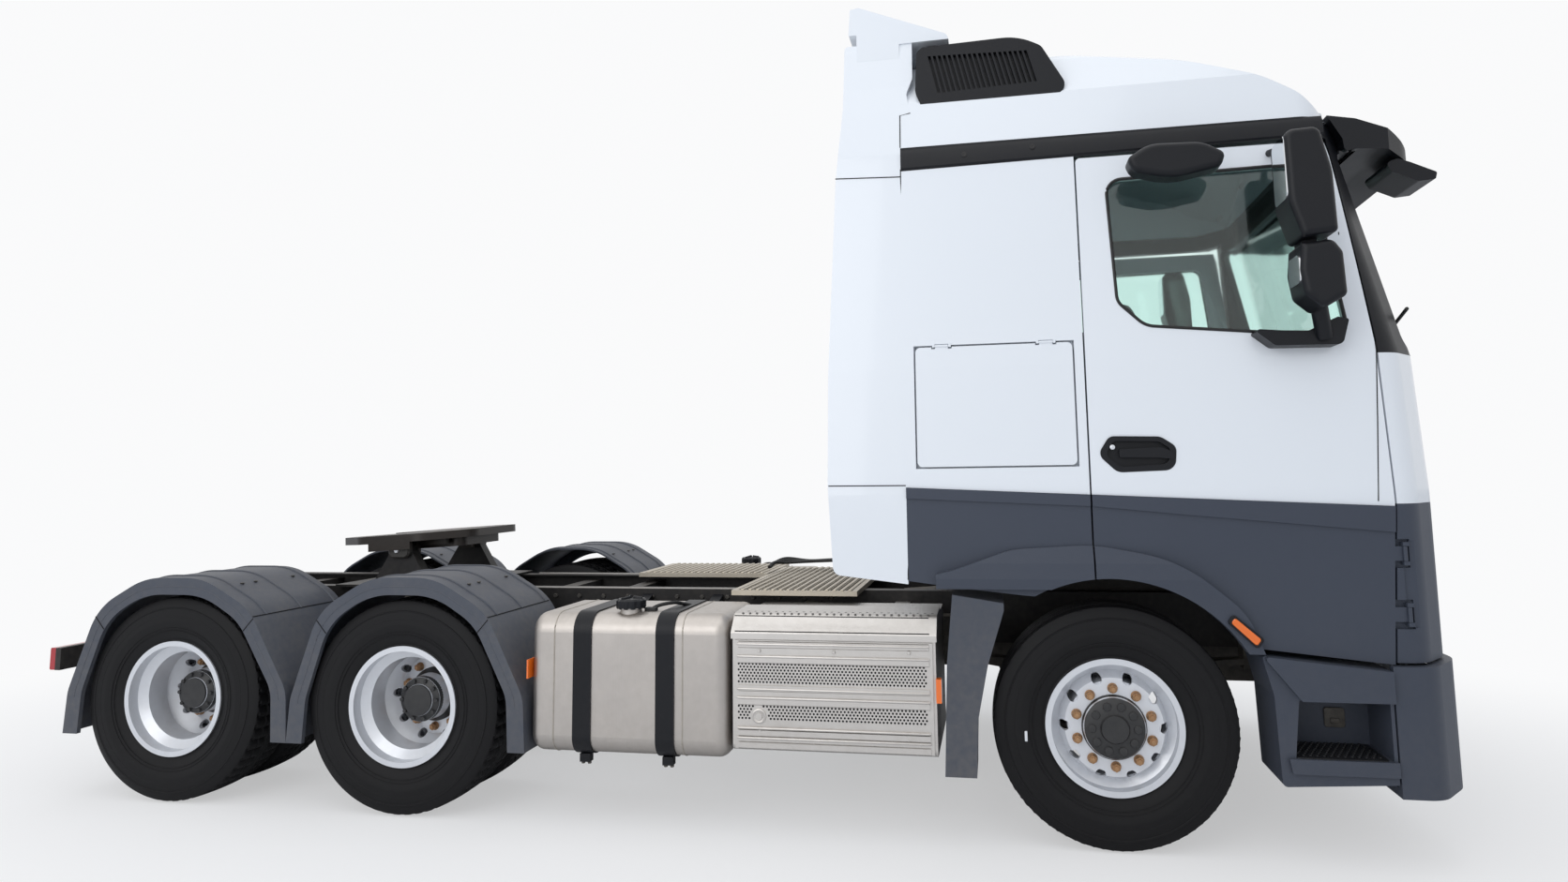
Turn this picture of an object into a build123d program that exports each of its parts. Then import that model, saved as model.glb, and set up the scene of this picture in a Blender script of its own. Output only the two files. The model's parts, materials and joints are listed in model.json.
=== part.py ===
"""Six-by-four cab-over tractor unit, one solid or group of like solids per node.

Lengths are millimetres.  Inside this file x runs forward from the front axle,
y to the left and z up from the ground.  Every piece is shifted as it is saved,
so that the saved origin lies on the ground under the middle of the whole truck.
"""
import math
import os

from build123d import *

os.makedirs("parts", exist_ok=True)

# ---- running gear ---------------------------------------------------------
WHEELBASE = 3450.0            # front axle to first drive axle
TANDEM = 1350.0               # between the two drive axles
TYRE_R = 530.0                # tyre radius as it stands
TYRE_W = 300.0                # tyre width
RIM_R = 297.0                 # outside radius of the rim's flange
RIM_SEAT_R = 280.0            # radius of the rim under the tyre's bead
RIM_W = 250.0                 # rim width between the flanges
HUB_BORE_R = 140.0            # centre hole of the wheel disc
BOLT_CIRCLE_R = 167.5         # wheel nuts' circle
BOLT_COUNT = 10
FRONT_TYRE_Y = 1020.0         # middle of a front tyre
DUAL_Y = 910.0                # middle of a twin wheel
DUAL_PITCH = 340.0            # between the two tyres of a twin wheel
KINGPIN_Y = 790.0             # steering axis
REAR_AXLES = (-WHEELBASE, -WHEELBASE - TANDEM)
SIDES = (("right", -1.0), ("left", 1.0))
FIT = 0.4                     # play between two curved faces
SEAM = 0.8                    # joint line between two fixed panels
DOOR_GAP = 8.0                # joint line round a moving panel

# ---- frame ----------------------------------------------------------------
RAIL_Y = 380.0                # outside of a rail's web
RAIL_WEB = 9.0
RAIL_FLANGE = 80.0
RAIL_TOP = 1020.0
RAIL_DEPTH = 270.0
RAIL_REAR = -5600.0
RAIL_FRONT = 1060.0

# ---- body lines -----------------------------------------------------------
CAB_REAR = -890.0
CAB_FRONT = 1415.0
WALL = 50.0
SIDE_SEAM_X = -862.0          # cab side against the fairing
DOOR_REAR_X = -60.0
CLAD_Z_REAR = 1592.0          # white-to-grey line at the cab's rear
CLAD_Z_FRONT = 1490.0         # and at its front
CLAD_Z_CORNER_X = 1180.0
TRIM_LOW = 3140.0             # dark roof rail, lower and upper edge
TRIM_TOP = 3262.0
CAB_BOTTOM = 1165.0
ARCH_LIP_R = 655.0
PIVOT_X = 1300.0              # cab tilting axis
PIVOT_Z = 1060.0
HALF_WIDTH = 1245.0           # half width over the mudguards
FRONT_MOST = 1560.0           # tip of the front mirror
REAR_MOST = -5700.0           # back of the rear lamps
SHIFT_X = -(FRONT_MOST + REAR_MOST) / 2

# ---- fifth wheel ----------------------------------------------------------
FIFTH_X = -4060.0             # pivot of the plate
FIFTH_REAR, FIFTH_FRONT = 480.0, 400.0        # reach of the plate from its pivot
FIFTH_PIVOT_Z = 1240.0
FIFTH_TOP = 1335.0            # top of the plate when it lies level
FIFTH_TILT = 3.5              # rear-down lean of the empty plate, degrees
KINGPIN_BORE_R = 25.5


def outline(points, place):
    """Closed wire of lines and arcs; each point is (u, v) or (u, v, radius)."""
    table = [(p[0], p[1], p[2] if len(p) > 2 else 0.0) for p in points]
    count = len(table)
    corners = []
    for i, (u, v, radius) in enumerate(table):
        before = Vector(table[i - 1][0] - u, table[i - 1][1] - v)
        after_u, after_v = table[(i + 1) % count][:2]
        after = Vector(after_u - u, after_v - v)
        here = Vector(u, v)
        if radius <= 0:
            corners.append((here, here, here))
            continue
        back, ahead = before.normalized(), after.normalized()
        half = math.acos(max(-1.0, min(1.0, back.dot(ahead)))) / 2
        reach = radius / math.tan(half)
        bisect = (back + ahead).normalized()
        centre = here + bisect * (radius / math.sin(half))
        corners.append((here + back * reach, centre - bisect * radius, here + ahead * reach))
    edges = []
    for i, (start, middle, end) in enumerate(corners):
        if (end - start).length > 1e-6:
            edges.append(Edge.make_three_point_arc(place(start), place(middle), place(end)))
        following = corners[(i + 1) % count][0]
        if (following - end).length > 1e-6:
            edges.append(Edge.make_line(place(end), place(following)))
    return Wire(edges)


def prism(points, along, low, high):
    """Outline pushed along one axis: 'y' takes (x, z), 'x' takes (y, z), 'z' takes (x, y)."""
    if along == "y":
        wire = outline(points, lambda p: Vector(p.X, low, p.Y))
        push = Vector(0, high - low, 0)
    elif along == "x":
        wire = outline(points, lambda p: Vector(low, p.X, p.Y))
        push = Vector(high - low, 0, 0)
    else:
        wire = outline(points, lambda p: Vector(p.X, p.Y, low))
        push = Vector(0, 0, high - low)
    return Solid.extrude(Face(wire), push)


def block(x0, x1, y0, y1, z0, z1):
    """Box between two corners, in any order."""
    size = (abs(x1 - x0), abs(y1 - y0), abs(z1 - z0))
    middle = ((x0 + x1) / 2, (y0 + y1) / 2, (z0 + z1) / 2)
    return Box(*size).locate(Location(middle))


def rod(start, end, radius, hole=0.0):
    """Round bar or tube between two points."""
    a, b = Vector(*start), Vector(*end)
    plane = Plane(origin=a, z_dir=b - a)
    solid = Solid.extrude(Face(Wire.make_circle(radius, plane)), b - a)
    if hole > 0:
        solid = solid - Solid.extrude(Face(Wire.make_circle(hole, plane)), b - a)
    return solid


def spun(points, x, z, side=1.0, y=0.0):
    """Ring about a wheel's axle from (radius, offset) points; offset grows outward."""
    wire = outline(points, lambda p: Vector(x + p.X, y + side * p.Y, z))
    axle = Axis((x, 0, z), (0, 1, 0))
    return Solid.revolve(Face(wire), 360, axle)


def fused(pieces):
    """All pieces as one body."""
    pieces = list(pieces)
    return pieces[0].fuse(*pieces[1:]) if len(pieces) > 1 else pieces[0]


def common(first, *others):
    """What all the pieces share."""
    for other in others:
        first = first & other
    return first


def group(pieces):
    """Pieces that stay apart, in one node."""
    solids = []
    for piece in pieces:
        solids.extend(piece.solids())
    return Compound(children=solids)


def mirrored(piece):
    """The same piece on the other side of the truck."""
    return piece.mirror(Plane.XZ)


def save(name, piece):
    """Write one node, moved to the truck's shared origin."""
    solids = [s for s in piece.solids() if s.volume > 1.0]
    moved = [s.moved(Location((SHIFT_X, 0, 0))) for s in solids]
    export_step(moved[0] if len(moved) == 1 else Compound(children=moved), f"parts/{name}.step")


# ===========================================================================
# wheels
# ===========================================================================
# one table per wheel: offset of the disc's mounting face from the rim's middle
FRONT_DISC = 118.0            # from the front rim's middle out to the disc's face
DISC_T = 14.0
DRUM_R = 198.0
FRONT_DRUM = 150.0            # from the front rim's middle in to the drum's rim
TWIN_DRUM = 320.0
STUB_R = 45.0                 # stub axle in the front hub
STUB_END = 95.0               # its end, out from the front rim's middle
HOUSING_END_R = 60.0          # drive axle's end in the twin hub


def tyre(x, y, side):
    """Tyre with rounded shoulders over the rim."""
    half = TYRE_W / 2
    bead = RIM_W / 2 - 16
    inner = RIM_SEAT_R + FIT
    points = [(inner, -bead), (inner + 40, -half + 12), (TYRE_R - 95, -half, 90), (TYRE_R - 8, -half + 24,
                                                                                   14),
              (TYRE_R, -half + 70), (TYRE_R, half - 70), (TYRE_R - 8, half - 24, 14), (TYRE_R - 95, half,
                                                                                       90),
              (inner + 40, half - 12), (inner, bead), (inner + 28, bead - 12), (TYRE_R - 70, half - 34),
              (TYRE_R - 34, half - 80), (TYRE_R - 34, -half + 80), (TYRE_R - 70, -half + 34),
              (inner + 28, -bead + 12)]
    return spun(points, x, TYRE_R, side, y)


RIM_WALL = 9.0
RIM_WELL_R = RIM_SEAT_R - 42.0
DISH_DEPTH = 62.0             # from the disc's face back to where it meets the rim
HAND_HOLE_R = 22.0
HAND_HOLE_CIRCLE = 213.0


def rim(x, y, side, disc, meet, flip=1.0):
    """Steel rim with a disc at `disc` from its middle that meets the rim at radius `meet`, and holes round it."""
    half = RIM_W / 2
    seat, well, wall = RIM_SEAT_R, RIM_WELL_R, RIM_WALL
    barrel = [(RIM_R, -half - 8), (RIM_R, -half), (seat, -half + 9), (seat, -half + 42), (well, -half + 68),
              (well, half - 68), (seat, half - 42), (seat, half - 9), (RIM_R, half), (RIM_R, half + 8),
              (seat - wall, half + 8), (seat - wall, half - 46), (well - wall, half - 72),
              (well - wall, -half + 72), (seat - wall, -half + 46), (seat - wall, -half - 8)]
    piece = spun(barrel, x, TYRE_R, side, y)
    back = disc - flip * DISH_DEPTH
    dish = [(HUB_BORE_R, disc - flip * DISC_T), (205, disc - flip * DISC_T), (meet, back - flip * DISC_T),
            (meet, back), (212, disc), (HUB_BORE_R, disc)]
    plate = spun(dish, x, TYRE_R, side, y)
    holes = []
    for px, pz in ring_of(x, TYRE_R, HAND_HOLE_CIRCLE, BOLT_COUNT, 0.5):
        holes.append(rod((px, y + side * (disc - 90 * flip), pz), (px, y + side * (disc + 30 * flip), pz),
                         HAND_HOLE_R))
    return piece.fuse(plate.cut(*holes))


def ring_of(x, z, radius, count, phase=0.0):
    """Places round a circle, the first `phase` of a step past the top."""
    turns = [2 * math.pi * (i + phase) / count for i in range(count)]
    return [(x + radius * math.sin(turn), z + radius * math.cos(turn)) for turn in turns]


LOBE_CIRCLE = 98.0            # raised lobes of the hub covers
LOBE_R = 17.0


def front_wheel(side):
    """Front rim, disc, drum and lobed hub cover, bored for the stub axle."""
    y = side * FRONT_TYRE_Y
    wheel = rim(0, y, side, FRONT_DISC, RIM_WELL_R - 2)
    face = y + side * FRONT_DISC
    bore = STUB_R + FIT
    back = -FRONT_DRUM
    hub = [(bore, back), (DRUM_R, back), (DRUM_R, FRONT_DISC - DISC_T + 1), (HUB_BORE_R - 2,
                                                                             FRONT_DISC - DISC_T + 1),
           (HUB_BORE_R - 2, FRONT_DISC + 6), (128, FRONT_DISC + 26), (62, FRONT_DISC + 30),
           (58, FRONT_DISC + 44), (0, FRONT_DISC + 44), (0, STUB_END + 5), (bore, STUB_END + 5)]
    lobes = [rod((px, face, pz), (px, face + side * 34, pz), LOBE_R)
             for px, pz in ring_of(0, TYRE_R, LOBE_CIRCLE, BOLT_COUNT, 0.5)]
    return wheel.fuse(spun(hub, 0, TYRE_R, side, y), *lobes)


def twin_wheel(x, side):
    """Two rims bolted back to back, with drum and protruding hub."""
    middle = side * DUAL_Y
    half = DUAL_PITCH / 2
    meet = RIM_SEAT_R - RIM_WALL + 1
    outer = rim(x, middle + side * half, side, -half, meet, -1.0)
    inner = rim(x, middle - side * half, side, half, meet, 1.0)
    bore = HOUSING_END_R + FIT
    hub = [(bore, -TWIN_DRUM), (DRUM_R, -TWIN_DRUM), (DRUM_R, 1 - DISC_T), (HUB_BORE_R - 2, 1 - DISC_T),
           (HUB_BORE_R - 2, 30), (118, 62), (112, 150), (84, 158), (76, 172), (0, 172), (0, 5), (bore, 5)]
    return outer.fuse(inner, spun(hub, x, TYRE_R, side, middle))


def twin_tyres(x, side):
    """Both tyres of a twin wheel."""
    offsets = (-DUAL_PITCH / 2, DUAL_PITCH / 2)
    return group([tyre(x, side * (DUAL_Y + offset), side) for offset in offsets])



# ===========================================================================
# axles, springs, frame
# ===========================================================================
EYE_R = 50.0
PIN_R = 24.0
EYE_Z = (455.0, 605.0)
SPRING_Z = 600.0              # front pack's underside below its camber
SPRING_RISE = 90.0            # from there up to its eyes
SPRING_SEAT_Z = SPRING_Z + 0.3 * SPRING_RISE


def front_axle():
    """Dropped beam with an eye for each kingpin."""
    beam = prism([(-KINGPIN_Y, 480), (-620, 480, 60), (-520, 430, 60), (520, 430, 60), (620, 480, 60),
                  (KINGPIN_Y, 480),
                  (KINGPIN_Y, 585), (600, 585, 60), (500, 540, 60), (-500, 540, 60), (-600, 585, 60),
                  (-KINGPIN_Y, 585)], "x", -48, 48)
    pieces = [beam]
    for _, side in SIDES:
        y = side * KINGPIN_Y
        pieces.append(rod((0, y, EYE_Z[0]), (0, y, EYE_Z[1]), EYE_R))
        pieces.append(block(-70, 70, side * 400, side * 490, 535, SPRING_SEAT_Z))
    beam = fused(pieces)
    for _, side in SIDES:
        y = side * KINGPIN_Y
        beam = beam.cut(rod((0, y, 300), (0, y, 800), PIN_R + FIT))
    return beam


def knuckle(side):
    """Fork, kingpin, flange and stub axle of one steered wheel."""
    y = side * KINGPIN_Y
    web_in, web_out = y + side * 58, y + side * 76
    pieces = [rod((0, y, EYE_Z[0] - 58), (0, y, EYE_Z[1] + 58), PIN_R)]
    for low, high in ((EYE_Z[0] - 50, EYE_Z[0] - 2), (EYE_Z[1] + 2, EYE_Z[1] + 50)):
        pieces.append(rod((0, y, low), (0, y, high), EYE_R))
        pieces.append(block(-EYE_R, EYE_R, y, web_out, low, high))
    pieces.append(block(-60, 60, web_in, web_out, EYE_Z[0] - 50, EYE_Z[1] + 50))
    pieces.append(rod((0, web_in, TYRE_R), (0, web_out - side * 4, TYRE_R), 190))
    pieces.append(rod((0, web_in, TYRE_R), (0, side * (FRONT_TYRE_Y + STUB_END), TYRE_R), STUB_R))
    arm = prism([(-260, y - side * 60), (-230, y - side * 85), (-30, y - side * 20), (-30, y + side * 30)],
                "z",
                EYE_Z[0] - 40, EYE_Z[0] - 8)
    pieces.append(arm)
    return fused(pieces)


SPRING_Y = (402.0, 482.0)


def spring_pack(x, half, z_mid, rise, depth, y0, y1):
    """Leaf pack as one bowed bar, tapering to its eyes."""
    arch = [(x - half, z_mid + rise, 0), (x - half * 0.5, z_mid + rise * 0.3, half), (x + half * 0.5,
                                                                                      z_mid + rise * 0.3, half),
            (x + half, z_mid + rise, 0), (x + half, z_mid + rise + 22, 0), (x + 90, z_mid + depth, 60),
            (x - 90, z_mid + depth, 60), (x - half, z_mid + rise + 22, 0)]
    return prism(arch, "y", y0, y1)


def leaf_springs():
    """Front packs with hangers, and the drive axles' packs on a centre trunnion."""
    pieces = []
    for _, side in SIDES:
        y0, y1 = side * SPRING_Y[0], side * SPRING_Y[1]
        pack = spring_pack(0, 760, SPRING_Z, SPRING_RISE, 62, y0, y1)
        web = side * RAIL_Y
        parts = [pack]
        for x in (-760, 740):
            parts.append(block(x - 26, x + 26, web, y1, 660, 900))
        pieces.append(fused(parts))
        middle = REAR_AXLES[0] - TANDEM / 2
        pack = spring_pack(middle, TANDEM / 2 + 60, 660, -30, 120, side * 420, side * 520)
        saddle = fused([pack, block(middle - 110, middle + 110, web, side * 530, 560, 700),
                        block(middle - 150, middle + 150, web, side * 400, 560, 960)])
        pieces.append(saddle)
    return group(pieces)


def drive_axles():
    """Two banjo housings with tubes, spindles and brake plates."""
    pieces = []
    for x in REAR_AXLES:
        bowl = spun([(0, -150), (90, -150, 40), (215, -60, 60), (215, 60, 60), (90, 150, 40), (0, 150)], x,
                    TYRE_R)
        end = DUAL_Y
        flange = DUAL_Y - TWIN_DRUM - 8
        parts = [bowl, rod((x, -flange, TYRE_R), (x, flange, TYRE_R), 78), rod((x, -end, TYRE_R),
                                                                               (x, end,
                                                                                TYRE_R), HOUSING_END_R),
                 block(x, x + 300, -95, 95, TYRE_R - 80, TYRE_R + 110)]
        for _, side in SIDES:
            parts.append(rod((x, side * (flange - 14), TYRE_R), (x, side * flange, TYRE_R), 188))
            parts.append(block(x - 60, x + 60, side * 420, side * 520, TYRE_R, 630))
        pieces.append(fused(parts))
    return group(pieces)


def driveline():
    """Engine with radiator, gearbox and the shafts to both drive axles."""
    engine = fused([block(-250, 960, -280, 280, 560, 1040), block(-250, 960, -350, 350, 1040, 1390),
                    block(960, 1045, -285, 285, 700, 1040), block(960, 1045, -370, 370, 1040, 1330)])
    gearbox = prism([(-250, 600), (-1050, 660), (-1150, 700), (-1150, 880), (-1050, 960), (-250, 1020)],
                    "y", -220, 220)
    first = REAR_AXLES[0] + 300
    shaft = rod((-1150, 0, 790), (first + 12, 0, 590), 52)
    stub = rod((first, 0, 590), (first + 30, 0, 590), 60)
    second = rod((REAR_AXLES[0] - 215.4, 0, 530), (REAR_AXLES[1] + 300, 0, 530), 45)
    return group([fused([engine, gearbox, shaft, stub]), second])


def frame_rails():
    """Channel rails, open towards the middle."""
    rails = []
    for _, side in SIDES:
        out, web, lip = side * RAIL_Y, side * (RAIL_Y - RAIL_WEB), side * (RAIL_Y - RAIL_FLANGE)
        low = RAIL_TOP - RAIL_DEPTH
        profile = [(out, low), (out, RAIL_TOP), (lip, RAIL_TOP), (lip, RAIL_TOP - RAIL_WEB),
                   (web, RAIL_TOP - RAIL_WEB),
                   (web, low + RAIL_WEB), (lip, low + RAIL_WEB), (lip, low)]
        rails.append(prism(profile, "x", RAIL_REAR, RAIL_FRONT))
    return group(rails)


CROSS_X = (1010.0, -1320.0, -1900.0, -2700.0, -3140.0, -4125.0, -5100.0, -5555.0)


def crossmembers():
    """Hat-section members between the rails and the cab's front hinge brackets."""
    pieces = []
    inner = RAIL_Y - RAIL_WEB
    for x in CROSS_X[1:]:
        low, high = (845, 985) if x != -1900 else (900, 985)
        pieces.append(block(x - 45, x + 45, -inner, inner, low, high))
    for _, side in SIDES:
        pieces.append(cab_bracket(side))
    return group(pieces)


def cab_bracket(side):
    """Hinge bracket of the tilting cab on one rail, with its pin."""
    y0, y1 = side * RAIL_Y, side * (RAIL_Y + 60)
    plate = prism([(900, 800), (1010, 800, 30), (PIVOT_X + 20, PIVOT_Z - 34, 30), (PIVOT_X + 34,
                                                                                   PIVOT_Z + 34, 34),
                   (PIVOT_X - 34, PIVOT_Z + 34, 34), (900, 980, 30)], "y", y0, y1)
    pin = rod((PIVOT_X, y1, PIVOT_Z), (PIVOT_X, side * (RAIL_Y + 125), PIVOT_Z), 22)
    return plate.fuse(pin)


# ===========================================================================
# tanks and boxes on the frame
# ===========================================================================
TANK = (-2752.0, -1745.0, 335.0, 1000.0)     # rear, front, low, high
TANK_Y = (655.0, 1225.0)
TANK_CORNER = 90.0
TANK_EDGE = 62.0              # rounding of the pressed ends
STRAP_X = (-2475.0, -2055.0)
STRAP_W = 92.0
STRAP_T = 7.0
BOX = (-1725.0, -772.0, 385.0, 1000.0)


def tank_profile(grow):
    """Cross-section of a fuel tank across the truck, grown all round."""
    y0, y1 = TANK_Y
    low, high = TANK[2], TANK[3]
    corner = TANK_CORNER + grow
    return [(y0 - grow, low - grow, corner), (y1 + grow, low - grow, corner), (y1 + grow, high + grow,
                                                                               corner),
            (y0 - grow, high + grow, corner)]


def fuel_tanks():
    """One tank on each side, with a filler neck and cap on the right one."""
    shell = prism(tank_profile(0), "x", TANK[0], TANK[1])
    ends = [e for e in shell.edges() if e.center().X < TANK[0] + 1 or e.center().X > TANK[1] - 1]
    left = shell.fillet(TANK_EDGE, ends)
    neck_x, neck_y = -2270.0, 1120.0
    neck = rod((neck_x, neck_y, TANK[3] - 20), (neck_x, neck_y, TANK[3] + 18), 52)
    cap = rod((neck_x, neck_y, TANK[3] + 18), (neck_x, neck_y, TANK[3] + 52), 68)
    whole = left.fuse(neck, cap)
    return group([mirrored(whole), whole])


def tank_straps():
    """Strap round each tank and the bracket that ties it to the rail."""
    pieces = []
    for x in STRAP_X:
        outer = prism(tank_profile(FIT + STRAP_T), "x", x - STRAP_W / 2, x + STRAP_W / 2)
        inner = prism(tank_profile(FIT), "x", x - STRAP_W, x + STRAP_W)
        arm = prism([(RAIL_Y, 780), (560, 560, 40), (TANK_Y[0] - FIT - 1, 430), (TANK_Y[0] - FIT - 1, 900),
                     (RAIL_Y, 990)], "x", x - 30, x + 30)
        foot = block(x - 26, x + 26, TANK_Y[1] - 80, TANK_Y[1] - 40, TANK[2] - 40, TANK[2] - FIT - 1)
        strap = outer.cut(inner).fuse(arm, foot)
        pieces += [mirrored(strap), strap]
    return group(pieces)


def exhaust_box():
    """Aftertreatment box: ribbed outer panel, sloped lid and rail bracket."""
    x0, x1, low, high = BOX
    y_out, y_in = -1222.0, -560.0
    body = prism([(y_in, low + 60, 40), (y_in, high - 20, 30), (y_out + 60, high - 20, 30), (y_out + 14,
                                                                                             905, 20),
                  (y_out + 14, low, 30), (y_in + 120, low, 30)], "x", x0, x1)
    pieces = [body, block(x0 + 14, x1 - 14, y_out + 15, y_out + 6, low + 14, 890)]
    for z in (870.0, 800.0, 672.0, 610.0, 470.0, 415.0):
        bar = prism([(y_out, z - 12), (y_out + 12, z - 20), (y_out + 12, z + 20), (y_out, z + 12)], "x",
                    x0 + 30, x1 - 30)
        pieces.append(bar)
    lid = prism([(y_out, 896), (y_out, 925, 10), (y_out + 70, high + 6, 40), (-900, high + 14, 30),
                 (-900, high - 22),
                 (y_out + 62, high - 22, 30), (y_out + 16, 900)], "x", x0 - 6, x1 + 6)
    pieces.append(lid)
    for x in (-1500.0, -1000.0):
        pieces.append(block(x - 40, x + 40, y_in, -RAIL_Y, 800, 960))
    return fused(pieces)


def battery_box():
    """Battery and air-dryer box on the left rail, with a lid."""
    x0, x1, low, high = BOX
    body = prism([(x0 + 120, low + 40, 30), (x1, low + 40, 30), (x1, high - 40, 30), (x0 + 120, high - 40,
                                                                                      30)],
                 "y", 620, 1190)
    lid = block(x0 + 110, x1, 1190, 1215, low + 60, high - 60)
    arm = block(-1400, -900, RAIL_Y, 620, 800, 940)
    return fused([body, lid, arm])


AIR_TANKS = ((-2600.0, -1960.0), (-5520.0, -5180.0))
AIR_TANK_R = 105.0


def air_tanks():
    """Air vessels hung under the rails."""
    pieces = []
    for x0, x1 in AIR_TANKS:
        for _, side in SIDES:
            y, z = side * 210, 620
            vessel = rod((x0, y, z), (x1, y, z), AIR_TANK_R)
            caps = [rod((x0 - 22, y, z), (x1 + 22, y, z), AIR_TANK_R * 0.75)]
            hangers = [block(x - 20, x + 20, side * 230, side * 345, z + 60,
                             RAIL_TOP - RAIL_DEPTH) for x in (x0 + 80, x1 - 80)]
            pieces.append(fused([vessel, *caps, *hangers]))
    return group(pieces)


# ===========================================================================
# top of the frame
# ===========================================================================
# rear, front, right, left edge of each plate
CATWALKS = ((-1900.0, -1215.0, -640.0, 600.0), (-2770.0, -1915.0, 200.0, 820.0))


def catwalk():
    """Slatted walkway plates behind the cab, lying on the rails."""
    pieces = []
    for x0, x1, y0, y1 in CATWALKS:
        plate = block(x0, x1, y0, y1, RAIL_TOP, RAIL_TOP + 26)
        slat, step = x0 + 30, 42.0
        slots = []
        while slat < x1 - 40:
            slots.append(block(slat, slat + 12, y0 + 25, y1 - 25, RAIL_TOP + 14, RAIL_TOP + 40))
            slat += step
        pieces.append(plate.cut(*slots))
    return group(pieces)


GUARD_R = 640.0
GUARD_T = 12.0
GUARD_Z = 1172.0


GUARD_SPANS = ((REAR_AXLES[0], -4075.0, -2760.0, GUARD_Z), (REAR_AXLES[1], -5440.0, -4075.0, GUARD_Z - 10))
GUARD_INNER_Y = 598.0


def guard_path(x, rear, front, top, inset, low):
    """Side view of one arched guard, drawn in by `inset`."""
    g = inset
    return [(rear + g, low), (rear + 14 + g, 560, 200), (x - 470 + 0.7 * g, 1000 - 0.7 * g, 320),
            (x - 180, top - g, 400),
            (x + 180, top - g, 400), (x + 470 - 0.7 * g, 1005 - 0.7 * g, 320), (front - 14 - g, 600,
                                                                                200), (front - g, low)]


def rear_mudguards():
    """Arched guards over the twin wheels of each side, joined in one, with a rolled outer lip."""
    parts = []
    for x, rear, front, top in GUARD_SPANS:
        whole = guard_path(x, rear, front, top, 0.0, 340)
        skin = prism(whole, "y", GUARD_INNER_Y, HALF_WIDTH)
        skin = skin.cut(prism(guard_path(x, rear, front, top, GUARD_T, 300), "y", 500, HALF_WIDTH + 50))
        lip = prism(whole, "y", HALF_WIDTH - 22, HALF_WIDTH)
        lip = lip.cut(prism(guard_path(x, rear, front, top, 88.0, 300), "y", 1000, HALF_WIDTH + 50))
        parts += [skin, lip]
    guard = fused(parts)
    return group([mirrored(guard), guard])


# x, half length and half height of each stay's pad
STAYS = ((-2800.0, 70.0, 110.0), (-4075.0, 60.0, 90.0))


def mudguard_stays():
    """Tubes and pads that carry the rear mudguards, and the rear light bar."""
    pieces = []
    for _, side in SIDES:
        for x, reach_x, reach_z in STAYS:
            web = RAIL_Y + 20 if x == STAYS[1][0] else RAIL_Y
            tube = rod((x, side * web, 860), (x, side * (GUARD_INNER_Y - 8), 860), 21)
            pad = block(x - reach_x, x + reach_x, side * (GUARD_INNER_Y - 8), side * GUARD_INNER_Y,
                        860 - 40 - reach_z * 2, 860 + 40)
            pieces.append(tube.fuse(pad))
    bar = [block(REAR_MOST + 40, REAR_MOST + 75, -1130, 1130, 640, 760),
           block(REAR_MOST + 75, RAIL_REAR, -500, 500, 700, 1000)]
    for _, side in SIDES:
        bar.append(block(REAR_MOST + 75, -5440, side * 900, side * 960, 660, 720))
    pieces.append(fused(bar))
    return group(pieces)


def lamps():
    """Rear lamp units on the light bar and headlamps behind the bumper's openings."""
    pieces = []
    for s in (-1, 1):
        pieces.append(block(1255, 1408, s * 640, s * 1010, 600, 770))
    for _, side in SIDES:
        pieces.append(prism([(REAR_MOST, 640, 8), (REAR_MOST + 40, 640), (REAR_MOST + 40, 760),
                             (REAR_MOST, 760, 8)],
                            "y", side * 780, side * 1125))
    return group(pieces)


def fifth_wheel_pedestal():
    """Mounting plate across the rails and the two bearing brackets."""
    plate = block(FIFTH_X - 420, FIFTH_X + 420, -430, 430, RAIL_TOP, RAIL_TOP + 14)
    pieces = [plate]
    for _, side in SIDES:
        y0, y1 = side * 330, side * 400
        pieces.append(prism([(FIFTH_X - 190, RAIL_TOP + 14), (FIFTH_X + 190, RAIL_TOP + 14),
                             (FIFTH_X + 48, FIFTH_PIVOT_Z + 30, 40), (FIFTH_X - 48, FIFTH_PIVOT_Z + 30,
                                                                      40)], "y", y0, y1))
        pieces.append(rod((FIFTH_X, y0 - side * 60, FIFTH_PIVOT_Z), (FIFTH_X, y1, FIFTH_PIVOT_Z), 26))
    return fused(pieces)


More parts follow.
